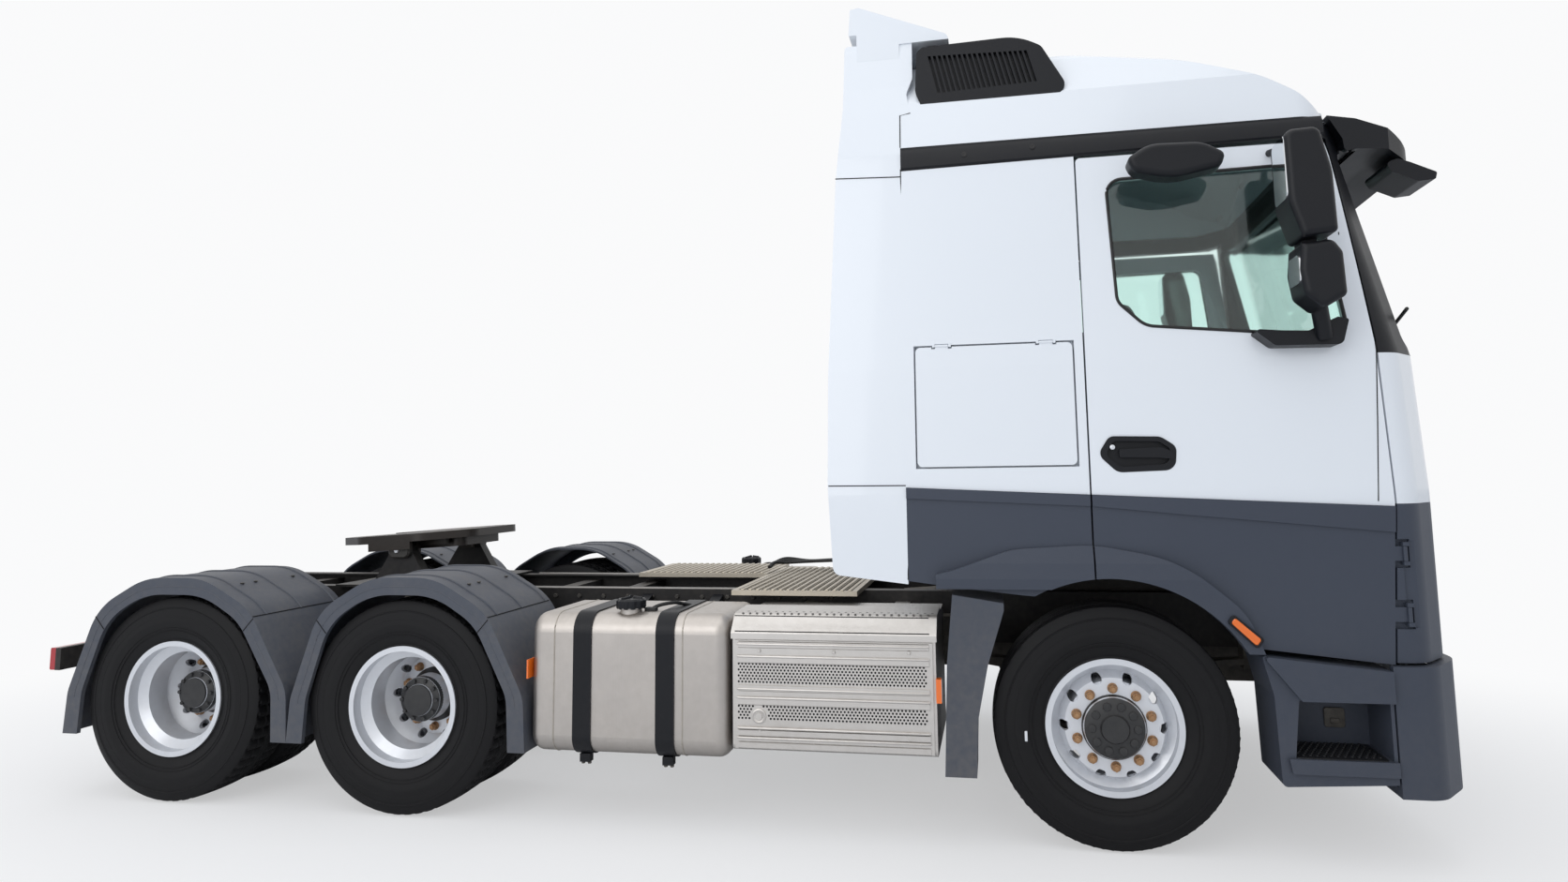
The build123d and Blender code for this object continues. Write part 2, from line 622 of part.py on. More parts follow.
def fifth_wheel_plate():
    """Coupling plate with throat and lock bore, leaning rearward on its pins."""
    top, t = FIFTH_TOP, 46.0
    rear, front, half = FIFTH_X - FIFTH_REAR, FIFTH_X + FIFTH_FRONT, 450.0
    plan = [(front, -260, 120), (front, 260, 120), (FIFTH_X + 150, half, 150), (FIFTH_X - 250, half, 120),
            (rear, 290, 50),
            (rear + 10, 190, 30), (FIFTH_X - 60, KINGPIN_BORE_R, 0), (FIFTH_X - 60, -KINGPIN_BORE_R, 0),
            (rear + 10, -190, 30), (rear, -290, 50), (FIFTH_X - 250, -half, 120), (FIFTH_X + 150, -half,
                                                                                   150)]
    plate = prism(plan, "z", top - t, top)
    bore = rod((FIFTH_X, 0, top - 200), (FIFTH_X, 0, top + 20), KINGPIN_BORE_R)
    skirt = prism([(FIFTH_X + 300, -230, 60), (FIFTH_X + 300, 230, 60), (FIFTH_X - 200, 250),
                   (FIFTH_X - 200, 120),
                   (FIFTH_X - 40, 60), (FIFTH_X - 40, -60), (FIFTH_X - 200, -120), (FIFTH_X - 200,
                                                                                    -250)], "z", top - 100, top - t)
    pieces = [plate, skirt]
    for _, side in SIDES:
        ear = block(FIFTH_X - 46, FIFTH_X + 46, side * 276, side * 322, FIFTH_PIVOT_Z - 40, top - t)
        pieces.append(ear)
        rib = block(FIFTH_X - 230, FIFTH_X + 230, side * 262, side * 300, top - 80, top - t)
        skirt = block(FIFTH_X - 190, FIFTH_X + 90, side * (half - 28), side * half, top - 92, top - t)
        pieces += [rib, skirt]
    body = fused(pieces).cut(bore)
    for _, side in SIDES:
        body = body.cut(rod((FIFTH_X, side * 250, FIFTH_PIVOT_Z), (FIFTH_X, side * 340, FIFTH_PIVOT_Z),
                            26 + FIT))
    pivot = Axis((FIFTH_X, 0, FIFTH_PIVOT_Z), (0, 1, 0))
    return body.rotate(pivot, -FIFTH_TILT)


# ===========================================================================
# cab
# ===========================================================================
# height, half width, front face
CAB_SECTIONS = ((780.0, 1192.0, CAB_FRONT), (1560.0, 1192.0, CAB_FRONT), (2150.0, 1172.0, 1392.0),
                (3230.0, 1100.0, 1165.0), (3600.0, 1046.0, 1128.0), (3950.0, 1010.0, 1080.0))
ROOF_SIDE = ((0.0, 3830.0, 900.0), (500.0, 3775.0, 1500.0), (860.0, 3675.0, 700.0), (1080.0, 3540.0, 150.0),
             (1180.0, 3360.0, 80.0), (1700.0, 3250.0, 0.0))
ROOF_ACROSS = ((1400.0, 3300.0, 0.0), (1066.0, 3490.0, 60.0), (930.0, 3740.0, 120.0), (700.0, 3840.0,
                                                                                       300.0),
               (300.0, 3860.0, 500.0))


# height of the sloping roof shoulder: x, z at SHOULDER_Y, rounding
SHOULDER = ((-1500.0, 3742.0, 0.0), (-93.0, 3730.0, 1500.0), (484.0, 3650.0, 900.0), (800.0, 3550.0, 500.0),
            (960.0, 3450.0, 300.0), (1050.0, 3345.0, 150.0), (1090.0, 3275.0, 0.0), (1700.0, 3255.0, 0.0))
SHOULDER_Y = 950.0
SHOULDER_FALL = 0.5           # fall of the shoulder for each step outward


def cab_block(inset, rear):
    """Cab's body before its roof is shaped, drawn in by `inset` and running back to `rear`."""
    faces = []
    for z, half, front in CAB_SECTIONS:
        w, xf = half - inset, front - inset
        points = [(rear, -w), (xf - 160, -w, 130), (xf, -(w - 200), 200), (xf, w - 200, 200), (xf - 160, w,
                                                                                               130), (rear,
                                                                                                      w)]
        faces.append(Face(outline(points, lambda p, z=z: Vector(p.X, p.Y, z))))
    return loft(faces, ruled=True)


def under_shoulders(drop):
    """Room under the sloping shoulders of both roof sides, lowered by `drop`."""
    rise = SHOULDER_FALL * SHOULDER_Y - drop
    along = [(x, z + rise, r) for x, z, r in SHOULDER] + [(1700.0, -800.0), (-1500.0, -800.0)]
    face = Face(outline(along, lambda p: Vector(p.X, 0, p.Y)))
    halves = [Solid.extrude(face, Vector(0, side * 1400, -SHOULDER_FALL * 1400)) for _, side in SIDES]
    return halves[0].fuse(halves[1])


def envelope(inset, rear):
    """Cab's outer shape drawn in by `inset`, running back to `rear`."""
    along = [(rear - 10, 700), (rear - 10, 3835 - inset)] + [(x, z - inset, r) for x, z,
                                                             r in ROOF_SIDE] + [(1700, 700)]
    across = [(y, z - inset, r) for y, z, r in ROOF_ACROSS]
    outline_yz = [(-1400, 700)] + [(-y, z, r) for y, z, r in across] + [(y, z, r) for y, z,
                                                                        r in across[::-1]] + [(1400, 700)]
    return common(cab_block(inset, rear), prism(along, "y", -1400, 1400), prism(outline_yz, "x", rear - 50,
                                                                                1800),
                  under_shoulders(inset * 1.1))


_shell = {}


def shell():
    """Wall of the cab, as thick as a door."""
    if "cab" not in _shell:
        _shell["cab"] = envelope(0, CAB_REAR).cut(envelope(WALL, CAB_REAR + WALL))
    return _shell["cab"]


def clad_line(x):
    """Height of the white-to-grey line at x."""
    share = (x - CAB_REAR) / (CLAD_Z_CORNER_X - CAB_REAR)
    return CLAD_Z_REAR + share * (CLAD_Z_FRONT - CLAD_Z_REAR)


def trim_low(x):
    """Height of the dark roof rail's lower edge at x."""
    return TRIM_LOW + 22 * (x - CAB_REAR) / 1800


DOOR_HALF = 1192.0             # half width of the cab at its lower doors
DOOR_FRONT = ((1066.0, 3165.0), (1112.0, 2690.0), (1164.0, 2200.0), (1186.0, 1510.0), (1140.0, 830.0))
DOOR_BOTTOM = ((590.0, 892.0), (1140.0, 830.0))


def door_area(grow=0.0):
    """Side view of the whole door opening, grown all round."""
    g = grow
    top = trim_low(0) - DOOR_GAP
    front = [(x + g, z) for x, z in DOOR_FRONT[1:-1]]
    return ([(DOOR_REAR_X - g, 1000 - g), (DOOR_REAR_X - g, top + g, 20), (DOOR_FRONT[0][0] + g, top + g,
                                                                           20)]
            + front + [(DOOR_FRONT[-1][0] + g, DOOR_FRONT[-1][1] - g), (DOOR_BOTTOM[0][0] - 20,
                                                                        DOOR_BOTTOM[0][1] - g - 3),
                       (520, 1000 - g)])


WINDOW = ((75.0, 3020.0, 70.0), (960.0, 3035.0, 60.0), (1060.0, 2245.0, 60.0), (700.0, 2262.0, 300.0),
          (215.0, 2312.0, 110.0),
          (98.0, 2430.0, 80.0))
BACK_HALF = 1070.0             # half width of the rear wall panel
LOCKER = (-838.0, -108.0, 1682.0, 2255.0)


def side_only(y_side, depth=420.0):
    """Slab that keeps one side wall with its front corner."""
    return block(-1400, 1600, y_side * 1400, y_side * (1400 - depth), 500, 3400)


def wheel_disc(radius, y0, y1):
    """Round cutter about the front axle."""
    return rod((0, y0, TYRE_R), (0, y1, TYRE_R), radius)


def flare(side, x0, x1):
    """Arch flare standing proud of the cab's side between two places."""
    y0, y1 = side * 1150, side * 1240
    ring = prism([(-905, 1166), (-690, 1215, 250), (-420, 1310, 400), (-60, 1330, 700), (300, 1262, 600),
                  (560, 1040, 300),
                  (690, 700, 0), (690, 400), (-905, 400)], "y", y0, y1)
    ring = ring.cut(wheel_disc(ARCH_LIP_R, y0 - side * 50, y1 + side * 50))
    low = CAB_BOTTOM - 30
    keep = block(x0, x1, y0 - side * 5, y1 + side * 5, low if x1 < 0 else 870, 1500)
    piece = common(ring, keep)
    edge = prism([(1150, 400), (1196, 400), (1240, 1180), (1232, 1250), (1196, 1345), (1150, 1345)], "x",
                 -1000, 1000)
    edge = edge if side > 0 else mirrored(edge)
    return common(piece, edge)


def wall_panel(area, side, depth=420.0):
    """Part of the cab wall inside a side-view outline."""
    return common(shell(), side_only(side, depth), prism(area, "y", side * 1500, side * 600))


# door hinges, in the dark slot of the corner panel: axis, pin, barrel, and each one's low and high end
HINGE_X, HINGE_Y = 1204.0, 1197.0
HINGE_PIN_R = 4.5
HINGE_BARREL_R = 9.0
HINGE_SPANS = ((1010.0, 1070.0), (1262.0, 1322.0))
HINGE_EYE = 18.0              # height of the bracket above and below a barrel
HINGE_NOTCH = 30.0            # how far the cladding is cut back above and below a barrel
SLOT = (1196.0, 1262.0, 985.0, 1345.0)   # dark slot: rear, front, low, high
SLOT_DEPTH = 12.0


def hinge_pins(side):
    """Pins with their brackets, on the corner panel."""
    pieces = []
    for low, high in HINGE_SPANS:
        y = side * HINGE_Y
        pieces.append(rod((HINGE_X, y, low - HINGE_EYE), (HINGE_X, y, high + HINGE_EYE), HINGE_PIN_R))
        for z0, z1 in ((low - HINGE_EYE, low - 2), (high + 2, high + HINGE_EYE)):
            pieces.append(block(HINGE_X - HINGE_BARREL_R, HINGE_X + 14, side * (DOOR_HALF - WALL / 2),
                                side * (HINGE_Y + HINGE_PIN_R + 2), z0, z1))
    return pieces


def hinge_leaves(side):
    """Barrels with the ears that carry them, on the door, and their bore for the pin."""
    leaves, bores = [], []
    for low, high in HINGE_SPANS:
        y = side * HINGE_Y
        leaves.append(rod((HINGE_X, y, low), (HINGE_X, y, high), HINGE_BARREL_R))
        leaves.append(block(1120, HINGE_X, side * (DOOR_HALF - 14), side * DOOR_HALF, low, high))
        bores.append(rod((HINGE_X, y, low - 1), (HINGE_X, y, high + 1), HINGE_PIN_R + FIT))
    return leaves, bores


def hinge_notches(side):
    """Cutters that clear the ears' way through the corner panel."""
    return [block(1100, HINGE_X + 22, side * (DOOR_HALF - 22), side * (DOOR_HALF + 80), low - HINGE_NOTCH,
                  high + HINGE_NOTCH)
            for low, high in HINGE_SPANS]


def door(side):
    """White upper door with its window opening."""
    gap = -DOOR_GAP / 2
    white = wall_panel(door_area(gap), side, 330)
    line = prism([(-300, clad_line(-300) + 1), (1400, clad_line(1400) + 1), (1400, 3400), (-300, 3400)],
                 "y", side * 1500, side * 500)
    hole = prism(list(WINDOW), "y", side * 1500, side * 600)
    pocket = prism(list(HANDLE), "y", side * (HANDLE_IN - FIT), side * 1300)
    return solid_of(common(white, line).cut(hole, pocket))


# side view of the handle's housing and of its grip
HANDLE = ((-22.0, 1730.0, 40.0), (30.0, 1812.0, 40.0), (250.0, 1806.0, 60.0), (316.0, 1760.0, 40.0),
          (308.0, 1656.0, 50.0),
          (60.0, 1648.0, 60.0))
HANDLE_DISH = ((10.0, 1728.0, 30.0), (46.0, 1790.0, 30.0), (240.0, 1785.0, 50.0), (290.0, 1752.0, 30.0),
               (284.0, 1684.0, 40.0),
               (75.0, 1672.0, 50.0))
GRIP = ((70.0, 1752.0, 8.0), (250.0, 1758.0, 20.0), (306.0, 1735.0, 8.0), (304.0, 1704.0, 8.0),
        (240.0, 1712.0, 20.0),
        (70.0, 1716.0, 8.0))
HANDLE_IN, HANDLE_OUT = 1158.0, 1190.0


def door_handle(side):
    """Recessed handle housing with its grip."""
    body = prism(list(HANDLE), "y", side * HANDLE_IN, side * HANDLE_OUT)
    body = body.cut(prism(list(HANDLE_DISH), "y", side * (HANDLE_IN + 8), side * 1300))
    grip = prism(list(GRIP), "y", side * (HANDLE_OUT - 12), side * (HANDLE_OUT + 6))
    post = block(70, 100, side * (HANDLE_IN + 4), side * (HANDLE_OUT - 6), 1720, 1748)
    return body.fuse(grip, post)


def solid_of(piece):
    """Largest solid of a cut."""
    return max(piece.solids(), key=lambda s: s.volume)


# lower edge of the cladding's raised upper band, rear to front
BAND_LOW = ((-900.0, 1543.0), (-56.0, 1500.0), (400.0, 1454.0), (640.0, 1432.0), (1400.0, 1360.0))
BAND_OUT = 1201.0             # half width over the band


def raised_band(side, area):
    """Raised band along the top of the cladding, inside a side-view outline."""
    top = [(1400.0, clad_line(1400)), (-900.0, clad_line(-900))]
    band = prism(list(BAND_LOW) + top, "y", side * (DOOR_HALF - 10), side * BAND_OUT)
    return common(band, prism(area, "y", side * 1100, side * 1300))


def door_cladding(side):
    """Grey lower door with the front half of the arch flare."""
    gap = -DOOR_GAP / 2
    grey = wall_panel(door_area(gap), side, 330)
    line = prism([(-300, 500), (1400, 500), (1400, clad_line(1400)), (-300, clad_line(-300))], "y",
                 side * 1500, side * 500)
    grey = common(grey, line).cut(wheel_disc(ARCH_LIP_R, -1500, 1500))
    leaves, bores = hinge_leaves(side)
    grey = grey.fuse(flare(side, DOOR_REAR_X + DOOR_GAP / 2, 640), raised_band(side, door_area(gap)),
                     *leaves)
    return solid_of(grey.cut(wheel_disc(ARCH_LIP_R, -1500, 1500), *bores))


def door_glass(side):
    """Side window, set in the middle of the door's wall."""
    area = [(x, z, r) for x, z, r in WINDOW]
    pane = common(envelope(20, CAB_REAR).cut(envelope(25, CAB_REAR + 25)), side_only(side, 330))
    return solid_of(common(pane, prism(area, "y", side * 1500, side * 600)))


def cab_sides():
    """White side walls behind the doors, open for the stowage lids."""
    pieces = []
    for _, side in SIDES:
        x0, x1 = CAB_REAR, DOOR_REAR_X - DOOR_GAP / 2
        area = [(x0, clad_line(x0) + SEAM), (x1, clad_line(x1) + SEAM), (x1, trim_low(x1)),
                (x0, trim_low(x0))]
        wall = wall_panel(area, side, 330)
        l0, l1, low, high = LOCKER
        g = DOOR_GAP / 2
        wall = wall.cut(block(l0 - g, l1 + g, side * 900, side * 1400, low - g, high + g))
        pins, notches = lid_pins(side)
        pieces.append(solid_of(wall.fuse(lid_jamb(side)).cut(*notches).fuse(*pins)))
    return group(pieces)


# stowage lid hinges: axis, pin, barrel, and each one's rear and front end
LID_AXIS_Y, LID_AXIS_Z = 1165.0, 2255.0
LID_PIN_R = 3.0
LID_BARREL_R = 6.0
LID_BARRELS = ((-740.0, -680.0), (-260.0, -200.0))
LID_EAR = 12.0                # length of the ear beside a barrel
LID_EAR_DEEP = 20.0           # how far the ears reach into the wall


def lid_pins(side):
    """Pins with their ears above a stowage lid, and the notches that clear its barrels."""
    y, z = side * LID_AXIS_Y, LID_AXIS_Z
    pins, notches = [], []
    for x0, x1 in LID_BARRELS:
        notches.append(rod((x0 - 2, y, z), (x1 + 2, y, z), LID_BARREL_R + 4))
        pins.append(rod((x0 - LID_EAR, y, z), (x1 + LID_EAR, y, z), LID_PIN_R))
        for start, end in ((x0 - 2 - LID_EAR, x0 - 2), (x1 + 2, x1 + 2 + LID_EAR)):
            pins.append(block(start, end, side * (LID_AXIS_Y - LID_EAR_DEEP), side * (LID_AXIS_Y + 3),
                              z - 5, z + 12))
    return pins, notches


JAMB = 14.0                    # how far the jamb reaches behind the lid's edge
JAMB_T = 8.0


def lid_jamb(side):
    """Frame inside the wall that the closed stowage lid rests against."""
    l0, l1, low, high = LOCKER
    g, deep = DOOR_GAP / 2, WALL + FIT
    band = envelope(deep, CAB_REAR).cut(envelope(deep + JAMB_T, CAB_REAR + JAMB_T))
    frame = block(l0 - 20, l1 + 20, side * 900, side * 1400, low - 20, high + 20)
    hole = block(l0 + g + JAMB, l1 - g - JAMB, side * 900, side * 1400, low + g + JAMB, high - g - JAMB)
    ring = common(band, frame).cut(hole)
    rim_wall = common(envelope(WALL - 6, CAB_REAR).cut(envelope(deep + JAMB_T, CAB_REAR + JAMB_T)), frame)
    return ring.fuse(rim_wall.cut(block(l0 - g, l1 + g, side * 900, side * 1400, low - g, high + g)))


def stowage_lid(side):
    """Lid of the outside locker under the bunk."""
    l0, l1, low, high = LOCKER
    g = DOOR_GAP / 2
    area = [(l0 + g, low + g, 24), (l1 - g, low + g, 24), (l1 - g, high - g, 24), (l0 + g, high - g, 24)]
    panel = wall_panel(area, side, 330)
    y, z = side * LID_AXIS_Y, LID_AXIS_Z
    deep = side * (LID_AXIS_Y - LID_EAR_DEEP - 5)
    barrels, bores = [], []
    for x0, x1 in LID_BARRELS:
        for start, end in ((x0 - LID_EAR - 6, x0), (x1, x1 + LID_EAR + 6)):
            panel = panel.cut(block(start, end, deep, side * 1400, z - 13, z + 10))
        barrels += [rod((x0, y, z), (x1, y, z), LID_BARREL_R),
                    block(x0, x1, side * (LID_AXIS_Y - LID_EAR_DEEP), y, z - 20, z)]
        bores.append(rod((x0 - 1, y, z), (x1 + 1, y, z), LID_PIN_R + FIT))
    return solid_of(panel.fuse(*barrels).cut(*bores))


def side_cladding():
    """Grey lower side panels with the rear half of the arch flares."""
    pieces = []
    for _, side in SIDES:
        x0, x1 = CAB_REAR, DOOR_REAR_X - DOOR_GAP / 2
        area = [(x0, CAB_BOTTOM), (-700, CAB_BOTTOM - 25), (-380, CAB_BOTTOM - 60), (x1, 1080),
                (x1, clad_line(x1)), (x0, clad_line(x0))]
        wall = wall_panel(area, side, 330).cut(wheel_disc(ARCH_LIP_R, -1500, 1500))
        piece = wall.fuse(flare(side, -760, x1), raised_band(side, area)).cut(wheel_disc(ARCH_LIP_R, -1500,
                                                                                         1500))
        pieces.append(solid_of(piece))
    return group(pieces)


def cab_back():
    """Rear wall between the floor and the roof."""
    keep = block(CAB_REAR - 20, CAB_REAR + WALL, -BACK_HALF, BACK_HALF, FLOOR[0], trim_low(CAB_REAR))
    return solid_of(common(shell(), keep))


def cab_roof():
    """Roof shell above the dark rails, down to the windscreen's header."""
    keep = prism([(-1000, TRIM_TOP + SEAM), (1300, TRIM_TOP + SEAM), (1300, 4000), (-1000, 4000)], "y",
                 -1400, 1400)
    top = common(shell(), keep)
    return solid_of(top)


def roof_rails_and_visor():
    """Dark rail along each roof side, header and the sun visor with its mirror."""
    keep = prism([(-1000, trim_low(-1000) + SEAM), (1400, trim_low(1400) + SEAM), (1400, TRIM_TOP),
                  (-1000, TRIM_TOP)],
                 "y", -1400, 1400)
    ring = common(shell(), keep)
    visor_out = prism([(1090, 3286), (1210, 3262, 60), (1400, 3180, 300), (1520, 3085, 20), (1516, 3050,
                                                                                             10), (1330,
                                                                                                   3108, 120),
                       (1190, 3120, 40), (1160, 3070, 20), (1150, TRIM_LOW + 30)], "y", -1020, 1020)
    plan = prism([(900, -1110), (1240, -1110, 120), (1480, -900, 200), (1500, 0), (1480, 900, 200),
                  (1240, 1110, 120), (900, 1110)],
                 "z", 3000, 3400)
    visor = common(visor_out, plan)
    arm = prism([(1380, 3150), (1410, 3140), (1440, 3080), (1410, 3070)], "y", -830, -790)
    head = prism([(1345, 3060, 20), (1400, 3076, 20), (1450, 3056, 30), (FRONT_MOST, 3000, 10),
                  (FRONT_MOST - 8, 2968, 8),
                  (1480, 2962, 20), (1370, 3016, 30)], "y", -960, -700)
    roof_zone = common(envelope(-FIT, CAB_REAR), block(900, 1300, -1200, 1200, TRIM_TOP, 3400))
    glass_zone = common(screen_cut(12), block(1000, 1215, -1100, 1100, 2000, 3300))
    visor = visor.cut(roof_zone, glass_zone)
    return fused([ring.cut(block(1000, 1300, -880, 880, 3000, 3150)), visor, arm, head, windscreen_frame()])


FRONT_SPLIT_Z = 1500.0
FLAP = (1330.0, 2105.0, 860.0)           # low, high, half width
FLAP_PIN_X, FLAP_PIN_Z = 1400.0, 2112.0  # the flap's hinge line
FLAP_PIN_R = 8.0
FLAP_BARREL_R = 14.0
FLAP_BARRELS = ((-560.0, -500.0), (500.0, 560.0))


def front_wall():
    """Cab wall between the doors, in front of both openings."""
    if "front" not in _shell:
        points = [(x + DOOR_GAP / 2, z) for x, z in DOOR_FRONT[::-1]]
        points = [(points[0][0], 842.0)] + points[1:-1] + [(points[-1][0], trim_low(1100)),
                                                           (1700, trim_low(1100)), (1700, 842)]
        _shell["front"] = common(shell(), prism(points, "y", -1500, 1500))
    return _shell["front"]


def screen_cut(grow):
    """Cutter through the windscreen opening, seen from the front."""
    g = grow
    return prism([(-(1030 + g), 2185 - g, 60), (1030 + g, 2185 - g, 60), (985 + g, 3125 + g, 60),
                  (-(985 + g), 3125 + g, 60)],
                 "x", 1000, 1700)


def cab_front():
    """White corner panels and the header under the windscreen, open for the front flap."""
    low, high, half = FLAP
    band = block(900, 1700, -1500, 1500, FRONT_SPLIT_Z + SEAM, 2150)
    corners = common(front_wall(), band).cut(block(1200, 1700, -half - 6, half + 6, 1000, high + 6))
    header = common(front_wall(), block(900, 1700, -half - 30, half + 30, high + 6, 2150))
    panel = solid_of(corners.fuse(header))
    for y0, y1 in FLAP_BARRELS:
        panel = panel.cut(rod((FLAP_PIN_X, y0 - 4, FLAP_PIN_Z), (FLAP_PIN_X, y1 + 4, FLAP_PIN_Z),
                              FLAP_BARREL_R + 4))
    pins = [rod((FLAP_PIN_X, y0 - 30, FLAP_PIN_Z), (FLAP_PIN_X, y1 + 30, FLAP_PIN_Z), FLAP_PIN_R) for y0,
            y1 in FLAP_BARRELS]
    return solid_of(panel.fuse(*pins))


def windscreen_frame():
    """Black pillars and sill round the windscreen."""
    band = block(900, 1700, -1500, 1500, 2150 + SEAM, 3400)
    return solid_of(common(front_wall(), band).cut(screen_cut(FIT)))


def windscreen():
    """Windscreen glass in the middle of the frame."""
    pane = common(envelope(18, CAB_REAR).cut(envelope(24, CAB_REAR + 24)), block(900, 1700, -1300, 1300,
                                                                                 2000, 3300))
    return solid_of(common(pane, screen_cut(0)))


def front_cladding():
    """Grey corner panels below the white ones, with the slots beside the lamps."""
    low, high, half = FLAP
    band = block(900, 1700, -1500, 1500, 842, FRONT_SPLIT_Z)
    lower = common(front_wall(), band).cut(block(1200, 1700, -half - 6, half + 6, low - 6, 1700))
    lower = lower.cut(block(1200, 1700, -APRON_HALF - 10, APRON_HALF + 10, 500, APRON_TOP + 12))
    x0, x1, z0, z1 = SLOT
    pins = []
    for _, side in SIDES:
        lower = lower.cut(block(x0, x1, side * (DOOR_HALF - SLOT_DEPTH), side * 1400, z0, z1),
                          *hinge_notches(side))
        pins += hinge_pins(side)
    return solid_of(lower.fuse(*pins))


def front_flap():
    """Service flap with horizontal grille slats."""
    low, high, half = FLAP
    area = block(1200, 1700, -half, half, low, high)
    panel = solid_of(common(shell(), area))
    z = low + 60.0
    slots = []
    while z < high - 230:
        slots.append(block(CAB_FRONT - 14, CAB_FRONT + 40, -half + 60, half - 60, z, z + 34))
        z += 62.0
    barrels = [rod((FLAP_PIN_X, y0, FLAP_PIN_Z), (FLAP_PIN_X, y1, FLAP_PIN_Z), FLAP_BARREL_R) for y0,
               y1 in FLAP_BARRELS]
    bores = [rod((FLAP_PIN_X, y0 - 1, FLAP_PIN_Z), (FLAP_PIN_X, y1 + 1, FLAP_PIN_Z), FLAP_PIN_R + FIT)
             for y0, y1 in FLAP_BARRELS]
    return solid_of(panel.cut(*slots).fuse(*barrels).cut(*bores))


FLOOR = (1350.0, 1430.0)      # underside and top of the cab floor
BUNK_Z = 2275.0


def cab_floor():
    """Floor pan with engine tunnel, outside lockers, bunk base and hinge arms."""
    under, top = FLOOR
    inside = envelope(WALL + 1, CAB_REAR)
    plate = common(inside, block(CAB_REAR + WALL, 1150, -1200, 1200, under, top))
    tunnel = block(-420, 1150, -420, 420, top - 10, 1590).cut(block(-380, 1200, -380, 380, 1000, 1550))
    bore = block(-380, 1200, -380, 380, 1000, 1500)
    base = common(envelope(WALL + JAMB_T + 2 * FIT, CAB_REAR), block(CAB_REAR + WALL, -84, -1200, 1200, top,
                                                                     BUNK_Z))
    for _, side in SIDES:
        base = base.cut(block(CAB_REAR + WALL + 24, -108, side * 24, side * 1200, top + 24, BUNK_Z - 24))
    body = fused([plate, tunnel, base]).cut(bore)
    body = body.cut(wheel_disc(600, -1300, -640), wheel_disc(600, 640, 1300))
    arms = []
    for _, side in SIDES:
        arms.append(prism([(PIVOT_X - 34, PIVOT_Z - 34, 34), (PIVOT_X + 34, PIVOT_Z - 34, 34),
                           (PIVOT_X + 34, 1300, 40),
                           (1150, top), (900, top), (900, under), (1150, under, 60), (PIVOT_X - 34, 1200,
                                                                                      40)],
                          "y", side * (RAIL_Y + 66), side * (RAIL_Y + 120)))
    body = body.fuse(*arms)
    for _, side in SIDES:
        body = body.cut(rod((PIVOT_X, side * RAIL_Y, PIVOT_Z), (PIVOT_X, side * (RAIL_Y + 200), PIVOT_Z),
                            22 + FIT))
    return body


def seats_and_bunk():
    """Both seats with pedestal, cushion, back and head rest, and the mattress."""
    pieces = [block(CAB_REAR + WALL + 10, -100, -1090, 1090, BUNK_Z, BUNK_Z + 130)]
    top = FLOOR[1]
    for _, side in SIDES:
        y0, y1 = side * 500, side * 960
        shape = prism([(180, top), (520, top), (500, 1720, 20), (720, 1740, 40), (730, 1870, 50),
                       (330, 1850, 40),
                       (130, 2500, 60), (40, 2540, 30), (40, 2380, 30), (190, 1790, 60)], "y", y0, y1)
        pieces.append(shape)
    return group(pieces)


def dashboard():
    """Instrument panel across the cab, steering column and wheel on the left."""
    panel = prism([(1010, 1660), (1150, 1590), (1320, 1600), (1320, 2130, 30), (1180, 2160, 60),
                   (980, 2090, 60), (950, 1900, 60)],
                  "y", -1080, 1080)
    panel = common(panel, envelope(WALL + FIT, CAB_REAR))
    centre = (820, 730, 2090)
    column = rod((1020, 730, 1880), centre, 38)
    spokes = [Solid.make_cylinder(15, 204, Plane(origin=(0, 0, 0), z_dir=way)) for way in ((0, 1, 0),
                                                                                           (0, -1, 0), (-1,
                                                                                                        0, 0))]
    wheel = Solid.make_cylinder(62, 48, Plane(origin=(0, 0, -26))).fuse(*spokes).fuse(Solid.make_torus(215,
                                                                                                       17))
    seat = Plane(origin=centre, x_dir=(0.72, 0, 0.69), z_dir=(-0.69, 0, 0.72))
    return fused([panel, column, wheel.moved(seat.location)])


# side view of the wings' rear edge, top to bottom
WING_REAR = ((-1172.0, 3852.0, 20.0), (-1180.0, 3500.0), (-1216.0, 3100.0, 300.0), (-1256.0, 2100.0, 600.0),
             (-1262.0, 1600.0, 300.0), (-1240.0, 1192.0, 40.0))
WING_T = 32.0


def side_fairings_and_deflector():
    """Side fairings behind the cab with the roof deflector between them."""
    area = [(CAB_REAR, 1150), (CAB_REAR, 3440), (-842, 3452), (-858, 3560, 60), (-826, 3640, 60),
            (-826, 3846), *WING_REAR]
    skin = cab_block(0, -1320).cut(cab_block(WING_T, -1400)).cut(envelope(-FIT, CAB_REAR))
    skin = common(skin, prism(area, "y", -1300, 1300))
    wings = [solid_of(common(skin, block(-1400, -800, s * 900, s * 1300, 1100, 3900))) for s in (-1, 1)]
    wedge = prism([(-640, 3838), (-650, 3866, 30), (-1096, 4052, 10), (-1140, 4045, 10), (-1150, 3905, 6),
                   (-1108, 3905),
                   (-1108, 3760), (CAB_REAR, 3760), (CAB_REAR, 3836)], "y", -1030, 1030)
    hollow = prism([(-905, 3700), (-905, 3905), (-1090, 3985), (-1200, 3985), (-1200, 3700)], "y", -900,
                   900)
    wedge = wedge.cut(hollow).cut(envelope(-FIT, CAB_REAR - FIT))
    return wings, wedge


def cab_fairings():
    """One node: both wings and the roof wedge that joins them."""
    wings, wedge = side_fairings_and_deflector()
    return fused([wedge, *wings])


